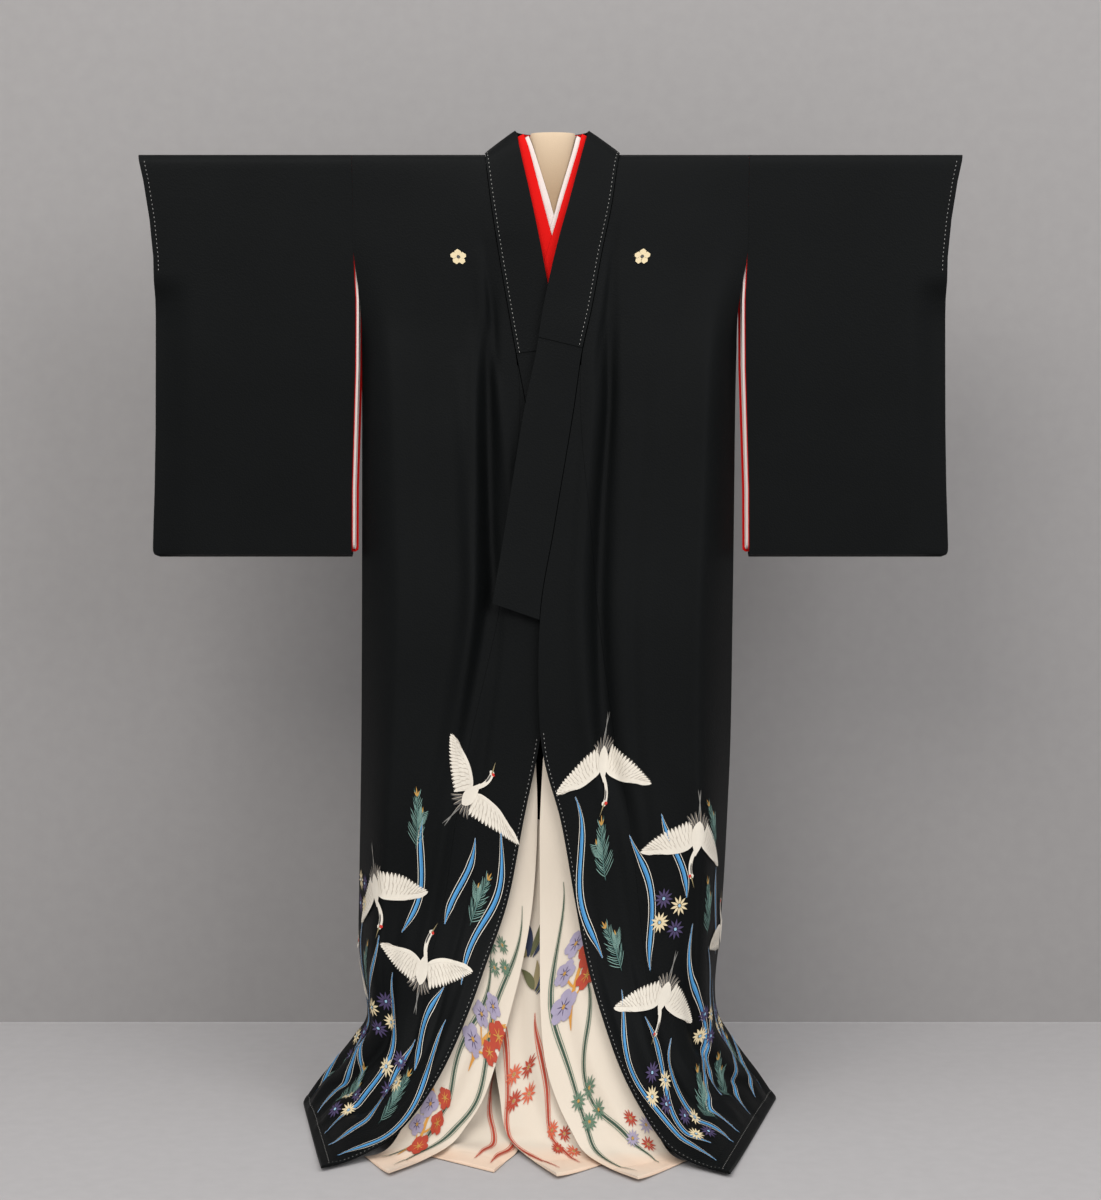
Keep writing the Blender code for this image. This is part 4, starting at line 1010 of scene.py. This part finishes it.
def pine(paint, x, y, size, angle, mirror=1.0):
    """Young pine shoot with paired needles and buds at its tip."""
    paint.stand_at(x, y, angle, size, mirror)
    stem = bent((0, 0), 1.45, 1.0, 0.25, 8)
    paint.strip(stem, 0.022, "pine", 0, brush_width)
    for k in range(19):
        t = k / 18
        base = sample(stem, 8 * (0.08 + 0.90 * t))
        length = 0.30 * (1 - 0.45 * t) + 0.06 * math.sin(2.3 * k)
        for side in (-1, 1):
            heading = 1.62 + side * (0.85 - 0.35 * t + 0.08 * math.sin(5 * k))
            colour = "pale_pine" if (k + side) % 3 else "pine"
            paint.strip(bent(base, heading, length, -0.35 * side, 3), 0.0125, colour, 1, brush_width)
    for k, length in ((-1, 0.13), (0, 0.19), (1, 0.11)):
        paint.strip(bent(stem[-1], 1.75 + 0.5 * k, length, 0.0, 3), 0.030, "ochre", 3, leaf_width)
    side_shoot = bent(sample(stem, 3.2), 1.0, 0.34, 0.5, 5)
    paint.strip(side_shoot, 0.018, "pine", 0, brush_width)
    for k in range(9):
        base = sample(side_shoot, 0.9 + 0.48 * k)
        for side in (-1, 1):
            needle = bent(base, 1.2 + 0.75 * side, 0.17, -0.3 * side, 3)
            paint.strip(needle, 0.0125, "pale_pine", 2, brush_width)
    paint.strip(bent(side_shoot[-1], 1.5, 0.12, 0.0, 3), 0.030, "ochre", 3, leaf_width)


def daisy(paint, x, y, size, colour, centre="pale_blue", petals=11, turn=0.0):
    paint.stand_at(x, y, turn, size)
    for k in range(petals):
        angle = 2 * math.pi * k / petals
        path = bent((0.10 * math.cos(angle), 0.10 * math.sin(angle)), angle, 0.47, 0.0, 4)
        paint.strip(path, 0.140, colour, 2 + k % 2, leaf_width)
    paint.disc(0, 0, 0.095, centre, 5)


def four_daisies(paint, x, y, size, turn, colours=("cream", "purple"), centre="pale_blue"):
    gap = 0.98 * size
    for k in range(4):
        angle = math.radians(turn) + math.pi / 2 * k
        daisy(paint, x + gap * 0.72 * math.cos(angle), y + gap * math.sin(angle), size,
              colours[k % len(colours)], centre, 10 + k % 3, 11 * k)


def plum(paint, x, y, size, colour, turn=0.0):
    paint.stand_at(x, y, turn, size)
    for k in range(5):
        angle = 2 * math.pi * k / 5
        paint.disc(0.28 * math.cos(angle), 0.28 * math.sin(angle), 0.23, colour, 2 + k % 3)
    for k in range(7):
        angle = 2 * math.pi * k / 7
        stamen = "purple" if colour == "lilac" else "stem"
        paint.strip(bent((0, 0), angle, 0.27, 0.0, 3), 0.032, stamen, 6, brush_width)
    paint.disc(0, 0, 0.08, "ochre", 7)


def branch(paint, x, y, size, angle, colours, mirror=1.0):
    """Bending stem with plum blossoms and buds on both sides."""
    paint.stand_at(x, y, angle, size, mirror)
    stem = bent((0, 0), 1.45, 1.0, 0.7, 8)
    paint.strip(stem, 0.045, "stem", 0, brush_width)
    spots = []
    for k in range(6):
        base = sample(stem, 1.2 + 1.2 * k)
        side = 1 if k % 2 else -1
        twig = bent(base, 1.7 + 0.8 * side, 0.20 + 0.04 * (k % 3), -0.3 * side, 4)
        paint.strip(twig, 0.022, "stem", 1, brush_width)
        spots.append(paint.flat(twig[-1]))
    for k, (px, py) in enumerate(spots):
        plum(paint, px, py, size * (0.27 if k % 3 else 0.34), colours[k % len(colours)], 25 * k)


def bamboo(paint, x, y, size, angle):
    paint.stand_at(x, y, angle, size)
    for k, colour in enumerate(("navy", "olive", "navy", "beak", "olive")):
        blade = bent((0.03 * k, -0.05 * k), 3.7 + 0.38 * k, 0.95 - 0.1 * (k % 2), 0.25, 8)
        paint.strip(blade, 0.15, colour, 1 + k, leaf_width)


def stream_path(x, y0, y1, swing, wave, phase, drift):
    count = max(8, int((y1 - y0) / 0.012))
    path = []
    for k in range(count + 1):
        y = y0 + (y1 - y0) * k / count
        turn = 2 * math.pi * (y - y0) / wave + phase
        path.append((x + swing * (math.sin(turn) - math.sin(phase)) + drift * (y - y0), y))
    return path


def stream_width(t):
    return min(1.0, 0.12 + 5 * t, 0.08 + 3.5 * (1 - t))


def stream(paint, x, y0, y1, swing, wave, phase, drift, width=0.0052, colours=("blue", "white")):
    """Flowing band with a thin line along each side and a short second strand."""
    paint.stand_at(0, 0, 0, 1)
    path = stream_path(x, y0, y1, swing, wave, phase, drift)
    body, edge = colours
    count = len(path) - 1
    swell = [stream_width(k / count) for k in range(count + 1)]
    paint.strip(path, width, body, 0, stream_width)
    for side in (-1, 1):
        out = side * width * 1.05
        rim = [(p[0] - h[1] * out * s, p[1] + h[0] * out * s) for p, h, s in zip(path, headings(path), swell)]
        paint.strip(rim, 0.0009, edge, 1, brush_width)
    strand = "deep_blue" if body == "blue" else body
    paint.strip(parallel(path, width * 0.20), width * 0.28, strand, 1, stream_width)


# Layout of the decoration on the flat cloth. Lengths are in millimetres, headings and turns in degrees.
# Streams: inward from the edge, foot, top, swing, wave, phase, drift
# Cranes: inward, height, size, heading, mirror, left wing, right wing, neck bend
# Pines and branches: inward, height, length, angle, then the colours of a branch, mirror
# Daisies and bamboo: inward, height, size, turn, then the colours where they differ
FRONT_LAYOUT = {
    "right": {
        "streams": [
            (26, 360, 600, 9, 230, 0.3, 0.02), (24, 30, 300, 10, 260, 2, 0.03),
            (72, 20, 240, 12, 220, 4, 0.02), (86, 420, 560, 9, 200, 1, -0.02),
            (124, 20, 320, 14, 250, 0.2, 0.03), (150, 380, 550, 10, 220, 3.2, -0.02),
            (176, 100, 360, 12, 240, 5, 0.02), (224, 20, 270, 13, 260, 1.4, 0.03),
            (262, 140, 370, 12, 210, 2.6, 0.02), (296, 20, 180, 10, 240, 4.4, 0.02),
            (340, 40, 330, 13, 250, 0.8, 0.02), (385, 30, 240, 11, 220, 3.6, 0.01),
            (425, 30, 200, 9, 200, 1.9, 0), (52, 200, 340, 8, 200, 5.5, 0),
        ],
        "cranes": [
            (90, 615, 142, 118, 1, 1.3, -1.15, 0.9), (215, 420, 146, 62, -1, 1.45, -1.2, 1.1),
            (95, 345, 139, 84, 1, 1.2, -1.45, -0.8), (318, 275, 149, 128, 1, 1.35, -1.3, 0.9),
        ],
        "pines": [
            (46, 440, 75, 6, 1), (160, 500, 75, -10, -1), (232, 255, 75, 10, 1), (50, 105, 80, -6, 1),
            (190, 50, 80, 8, -1), (365, 60, 75, -10, 1), (272, 60, 70, 14, 1),
        ],
        "daisies": [
            (150, 245, 27, 10), (275, 395, 24, 30), (95, 165, 27, 5), (258, 150, 26, 20),
            (400, 175, 25, 0), (155, 75, 25, 15),
        ],
    },
    "left": {
        "streams": [
            (26, 400, 640, 11, 250, 2.3, 0.02), (28, 30, 340, 12, 270, 0.2, 0.02),
            (66, 50, 280, 10, 220, 3, 0.02), (94, 340, 540, 11, 240, 5, 0.02),
            (112, 20, 220, 12, 230, 1.2, 0.02), (158, 20, 380, 14, 260, 3.9, 0.02),
            (172, 420, 550, 9, 200, 0.9, 0.02), (206, 80, 330, 12, 240, 2.8, 0.02),
            (252, 20, 260, 13, 250, 4.6, 0.02), (268, 300, 440, 9, 210, 1.6, 0.02),
            (305, 30, 200, 11, 220, 0.1, 0.02), (348, 30, 320, 13, 250, 3.3, 0.01),
            (392, 30, 240, 11, 230, 5.2, 0.01), (428, 30, 180, 9, 200, 2.2, 0),
        ],
        "cranes": [
            (90, 655, 142, 250, 1, 1.25, -1.35, 0.9), (205, 500, 144, 70, -1, 1.35, -1.2, 1),
            (310, 330, 146, 112, 1, 1.3, -1.4, 0.9), (105, 290, 139, 58, -1, 1.45, -1.25, -0.9),
        ],
        "pines": [
            (52, 500, 78, -6, -1), (255, 470, 70, 10, 1), (205, 350, 75, -8, 1), (50, 365, 72, 8, 1),
            (140, 60, 80, -10, 1), (325, 70, 78, 10, -1), (228, 60, 74, 6, 1),
        ],
        "daisies": [
            (140, 405, 26, 15), (52, 170, 27, 0), (190, 205, 27, 25), (372, 215, 25, 10),
            (285, 175, 26, 5), (85, 85, 25, 20),
        ],
    },
}
BACK_LAYOUT = {
    "streams": [
        (45 + 62 * k, 20, 240 + 50 * (k % 3) + 20 * (k % 2), 18, 270 + 20 * (k % 4), 1.7 * k, 0.02)
        for k in range(10)
    ],
    "cranes": [
        (110, 300, 142, 60, 1, 1.35, -1.2, 0.9), (310, 370, 144, 100, -1, 1.3, -1.35, 1),
        (520, 290, 142, 130, 1, 1.4, -1.25, -0.8),
    ],
    "pines": [
        (60, 130, 90, 8, 1), (200, 210, 85, -10, -1), (400, 190, 90, 12, 1), (590, 120, 85, -8, -1),
    ],
    "daisies": [(150, 110, 30, 10), (300, 150, 28, 30), (470, 100, 30, 0)],
}
UNDER_LAYOUT = {
    "middle_front_right": {
        "streams": [(18, 20, 500, 8, 260, 0.4, 0.01), (60, 20, 400, 10, 240, 2.6, 0)],
        "colours": ("green", "pale_green"),
        "branches": [(40, 220, 120, 6, ("lilac", "red"), 1), (45, 50, 110, -10, ("red", "lilac"), -1)],
        "daisies": [(40, 400, 21, 10, ("pale_green", "pale_green"))],
    },
    "middle_front_left": {
        "streams": [(20, 20, 520, 10, 280, 3.4, 0.01), (72, 20, 360, 12, 250, 0.6, 0)],
        "colours": ("green", "pale_green"),
        "branches": [(45, 290, 130, -6, ("lilac", "red"), -1)],
        "daisies": [(45, 170, 26, 45, ("pale_green", "pale_green")), (95, 80, 22, 0, ("lilac", "red"))],
    },
    "inner_front_right": {
        "streams": [(15, 20, 220, 6, 200, 1, 0.02), (45, 20, 220, 7, 220, 2.8, 0.02)],
        "colours": ("red", "pink"),
        "branches": [],
        "daisies": [],
    },
    "inner_front_left": {
        "streams": [(18, 20, 420, 9, 250, 1.8, 0), (58, 20, 300, 10, 270, 4.2, 0)],
        "colours": ("red", "pink"),
        "branches": [],
        "daisies": [(36, 210, 26, 30, ("red", "pink")), (70, 80, 22, 0, ("red", "pink"))],
        "bamboo": [(40, 400, 75, 200), (55, 330, 60, 170)],
    },
}


def on_cloth(cloth, share=1.0):
    def place(inward, height, lift):
        u, v = cloth.flat_to_uv(inward, max(0.003, height))
        roll = hem_roll(v, share)
        return cloth.at(u, v, lift + roll)

    return place


def paint_layout(name, cloth, layout, slot, **looks):
    """All motifs of a layout on one cloth, each kind with the columns that are lengths."""
    paint = Paint(name, on_cloth(cloth))
    kinds = (("streams", 5, stream), ("bamboo", 3, bamboo), ("pines", 3, pine), ("branches", 3, branch),
             ("daisies", 3, four_daisies), ("cranes", 3, crane))
    for kind, lengths, draw in kinds:
        for row in mm(layout.get(kind, []), lengths):
            draw(paint, *row, **looks.get(kind, {}))
    paint.finish()


def decoration():
    for label, cloth in FRONTS.items():
        paint_layout("painted_front_" + label, cloth, FRONT_LAYOUT[label], "black_silk")
    paint_layout("painted_back", BACK, BACK_LAYOUT, "black_silk")
    for node, cloth in UNDERS.items():
        layout = UNDER_LAYOUT[node]
        looks = {"streams": {"width": 0.0036, "colours": layout["colours"]}, "daisies": {"centre": "ochre"}}
        paint_layout("painted_" + node, cloth, layout, "cream_silk", **looks)


decoration()


# Stitches and the small blossoms on the chest
STITCH = {"pitch": 0.0068, "long": 0.0022, "wide": 0.0008, "lift": 0.0005, "arch": 0.0003, "across": 0.075}
EDGE_STITCH = {"inward": 0.005, "heights": (0.012, 0.76)}
HEM_STITCH = {"inward": (0.006, 0.44), "height": 0.014}
CUFF_STITCH = {"share": 0.975, "heights": (1.30, 1.474)}
BLOSSOM = {"u": 0.722, "v": 0.203, "size": 0.026}


def stitch_line(vertices, faces, points, outs):
    """Short dashes along a line of points, with the way out of the cloth at each."""
    points, outs = [Vector(p) for p in points], [Vector(n) for n in outs]
    lengths = [0.0]
    for a, b in zip(points, points[1:]):
        lengths.append(lengths[-1] + (b - a).length)
    place = 0.0
    while place + STITCH["long"] < lengths[-1]:
        ends = []
        for distance in (place, place + STITCH["long"]):
            i = max(0, min(len(points) - 2, int(np.searchsorted(lengths, distance)) - 1))
            t = (distance - lengths[i]) / max(1e-9, lengths[i + 1] - lengths[i])
            ends.append((points[i].lerp(points[i + 1], t), outs[i].lerp(outs[i + 1], t).normalized()))
        (a, out_a), (b, out_b) = ends
        side = (b - a).cross(out_a).normalized() * STITCH["wide"] / 2
        first = len(vertices)
        for point, out in ((a, out_a), (b, out_b)):
            vertices.extend([point + out * STITCH["lift"] - side, point + out * STITCH["lift"] + side])
        middle = [(vertices[first + k] + vertices[first + 2 + k]) / 2 + out_a * STITCH["arch"]
                  for k in (0, 1)]
        vertices.extend(middle)
        faces.extend([(first, first + 1, first + 5, first + 4), (first + 4, first + 5, first + 3, first + 2)])
        place += STITCH["pitch"]


def stitches():
    vertices, faces = [], []
    lift = COLLAR_LIFT + LAYER_GAP + OVERCOLLAR_THICK
    points, outs = [], []
    for seam, free, out in with_way_out(outer_collar_lines(*OVERCOLLAR_ENDS)):
        points.append(seam.lerp(free, STITCH["across"]) + out * lift)
        outs.append(out)
    stitch_line(vertices, faces, points, outs)
    for cloth in FRONTS.values():
        edge = [cloth.flat_to_uv(EDGE_STITCH["inward"], h) for h in np.linspace(*EDGE_STITCH["heights"], 160)]
        hem = [cloth.flat_to_uv(x, HEM_STITCH["height"]) for x in np.linspace(*HEM_STITCH["inward"], 120)]
        for spots in (edge, hem):
            stitch_line(vertices, faces, [cloth.at(u, v, hem_roll(v)) for u, v in spots],
                        [cloth.read(cloth.normals, u, v) for u, v in spots])
    for sign in (-1, 1):
        loop = sleeve_loop(sign, CUFF_STITCH["share"], 0.0, SLEEVE_BOTTOM_Z, 0.0, 0.0, 0.0)
        front = sorted((p for p in loop if p[1] < 0), key=lambda p: p[2])
        heights = [p[2] for p in front]
        points = []
        for z in np.linspace(*CUFF_STITCH["heights"], 60):
            points.append([np.interp(z, heights, [p[k] for p in front]) for k in range(3)])
        stitch_line(vertices, faces, points, [(0, -1, 0)] * len(points))
    thread = PAINT_MATERIALS[PAINT_NAMES.index("thread")]
    obj = make_object("stitches", vertices, faces, [thread], smooth_faces=False)
    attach(obj, "root")


def blossoms():
    for label, cloth in FRONTS.items():
        centre = (BLOSSOM["u"], BLOSSOM["v"])
        width = cloth.across[cloth.cell(0, centre[1])[0]][-1]
        drop = cloth.down[-1, -1]

        def place(x, y, lift):
            return cloth.at(centre[0] + x / width, centre[1] - y / drop, lift)

        paint = Paint("blossom_" + label, place)
        paint.stand_at(0, 0, 90, BLOSSOM["size"])
        for k in range(5):
            angle = 2 * math.pi * k / 5
            paint.disc(0.28 * math.cos(angle), 0.28 * math.sin(angle), 0.21, "cream", 1)
        paint.disc(0, 0, 0.11, "plume", 3)
        paint.finish()


stitches()
blossoms()


# Stand
def painted_metal():
    material, tree, shader = new_material("stand_paint")
    noise = noise_node(tree, 300.0).outputs["Fac"]
    tone = add_node(tree, "MapRange", {"Value": noise, "To Min": 0.35, "To Max": 0.5})
    set_inputs(tree, shader, {
        "Roughness": tone.outputs["Result"],
        "Normal": bumped(tree, noise, 0.1, 0.0003),
        "Base Color": (0.05, 0.05, 0.055, 1),
        "Metallic": 0.6,
    })
    return material


METAL = painted_metal()
LINEN = crepe("neck_linen", (0.56, 0.41, 0.27), (0.72, 0.56, 0.39), grain=1100, bump=0.3, sheen=0.2, patch=12)
for node in ("stand_base", "stand_post", "stand_arm_right", "stand_arm_left"):
    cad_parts[node].data.materials.clear()
    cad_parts[node].data.materials.append(METAL)
# Painted shade: the neck form's colour darkens from its top rim down, standing in for the shade lower down
# inside the collars.
with_tint_and_shade_below(LINEN, (0.40, 0.27, 0.16), 1.510, 1.420)


# Profile of the neck form: share of its half widths, height
NECK_PROFILE = [
    (0.80, 1.3003), (0.98, 1.330), (1.0, 1.380), (1.0, 1.440), (1.0, 1.490), (0.995, 1.508), (0.975, 1.5135),
    (0.955, 1.5152), (0.93, 1.5148), (0.92, 1.5125),
]
NECK_SIDES = 64
NECK_HALF = (0.0360, 0.0210)
NECK_CENTRE = (0.0036, 0.0040)


def neck_cover():
    """The neck form with its rolled upper rim."""
    count = NECK_SIDES
    outer = []
    for share, z in NECK_PROFILE:
        half_x, half_y = share * NECK_HALF[0], share * NECK_HALF[1]
        angles = [2 * math.pi * k / count for k in range(count)]
        outer.append([(NECK_CENTRE[0] + half_x * math.cos(a), NECK_CENTRE[1] + half_y * math.sin(a), z)
                      for a in angles])
    vertices = [p for loop in outer for p in loop]
    faces = []
    for i in range(len(outer) - 1):
        for k in range(count):
            n = (k + 1) % count
            faces.append((i * count + k, i * count + n, (i + 1) * count + n, (i + 1) * count + k))
    faces.append(tuple(reversed(range(count))))
    faces.append(tuple((len(outer) - 1) * count + k for k in range(count)))
    obj = make_object("neck_cover", vertices, faces, [LINEN])
    turn_outwards(obj.data)
    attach(obj, "root")
    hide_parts("neck_form")


neck_cover()


# Stage, light and camera
PHOTO_H = 1200
HORIZON_PX = 450
FOCAL_PX = 2300
SENSOR = 36.0
CAMERA = (0.0, -3.6, 1.02)
WALL_Y = 0.50
STAGE_HALF = 6
FLOOR_DROP = 0.0005
WALL_HIGH = 5
WALL_COLOUR = (0.335, 0.318, 0.310)
FLOOR_COLOUR = (0.47, 0.45, 0.445)


def stage_material(name, colour):
    material, tree, shader = new_material(name)
    noise = noise_node(tree, 40.0, 6.0).outputs["Fac"]
    dark, light = (*[c * 0.94 for c in colour], 1), (*[min(1, c * 1.06) for c in colour], 1)
    set_inputs(tree, shader, {"Base Color": mixed(tree, noise, dark, light), "Roughness": 0.9})
    return material


def see_from_behind(material):
    """The wall shows only from the front, so that the back of the garment can be looked at."""
    tree = material.node_tree
    choice = add_node(tree, "MixShader", {
        "Fac": add_node(tree, "NewGeometry").outputs["Backfacing"],
        1: tree.nodes["Principled BSDF"].outputs["BSDF"],
        2: add_node(tree, "BsdfTransparent").outputs["BSDF"],
    })
    output = next(node for node in tree.nodes if node.type == "OUTPUT_MATERIAL")
    set_inputs(tree, output, {"Surface": choice.outputs["Shader"]})


def stage():
    half, high = STAGE_HALF, WALL_HIGH
    level = [(-half, -half, 0), (half, -half, 0), (half, half, 0), (-half, half, 0)]
    upright = [(-half, WALL_Y, 0), (half, WALL_Y, 0), (half, WALL_Y, high), (-half, WALL_Y, high)]
    floor_paint = stage_material("stage_floor_paint", FLOOR_COLOUR)
    wall_cloth = stage_material("stage_wall_cloth", WALL_COLOUR)
    floor = make_object("stage_floor", level, [(0, 1, 2, 3)], [floor_paint])
    wall = make_object("stage_wall", upright, [(0, 1, 2, 3)], [wall_cloth])
    floor.location.z = -FLOOR_DROP
    see_from_behind(wall_cloth)


def area_light(name, place, target, size, power, colour=(1, 1, 1)):
    data = bpy.data.lights.new(name, "AREA")
    data.shape = "RECTANGLE"
    data.size, data.size_y = size
    data.energy = power
    data.color = colour
    obj = bpy.data.objects.new(name, data)
    bpy.context.scene.collection.objects.link(obj)
    obj.location = place
    obj.rotation_euler = (Vector(target) - Vector(place)).to_track_quat("-Z", "Y").to_euler()


def lights():
    area_light("key", (-1.4, -3.4, 3.6), (0, 0, 0.8), (2.4, 1.6), 70, (1.0, 0.985, 0.96))
    area_light("fill", (2.2, -3.2, 2.6), (0, 0, 0.7), (2.0, 2.0), 46, (0.97, 0.98, 1.0))
    area_light("top", (0.0, -0.9, 3.6), (0, 0, 0.9), (3.0, 1.4), 20)
    world = bpy.data.worlds.new("soft_world")
    world.use_nodes = True
    background = world.node_tree.nodes["Background"]
    set_inputs(world.node_tree, background, {"Color": (0.9, 0.92, 0.95, 1), "Strength": 0.84})
    bpy.context.scene.world = world


def camera():
    data = bpy.data.cameras.new("camera")
    data.sensor_fit = "AUTO"
    data.sensor_width = SENSOR
    data.lens = SENSOR * FOCAL_PX / PHOTO_H
    data.shift_y = -(PHOTO_H / 2 - HORIZON_PX) / PHOTO_H
    obj = bpy.data.objects.new("camera", data)
    bpy.context.scene.collection.objects.link(obj)
    obj.location = CAMERA
    obj.rotation_euler = (math.pi / 2, 0, 0)
    bpy.context.scene.camera = obj


stage()
lights()
camera()
bpy.context.scene.view_settings.view_transform = "Standard"
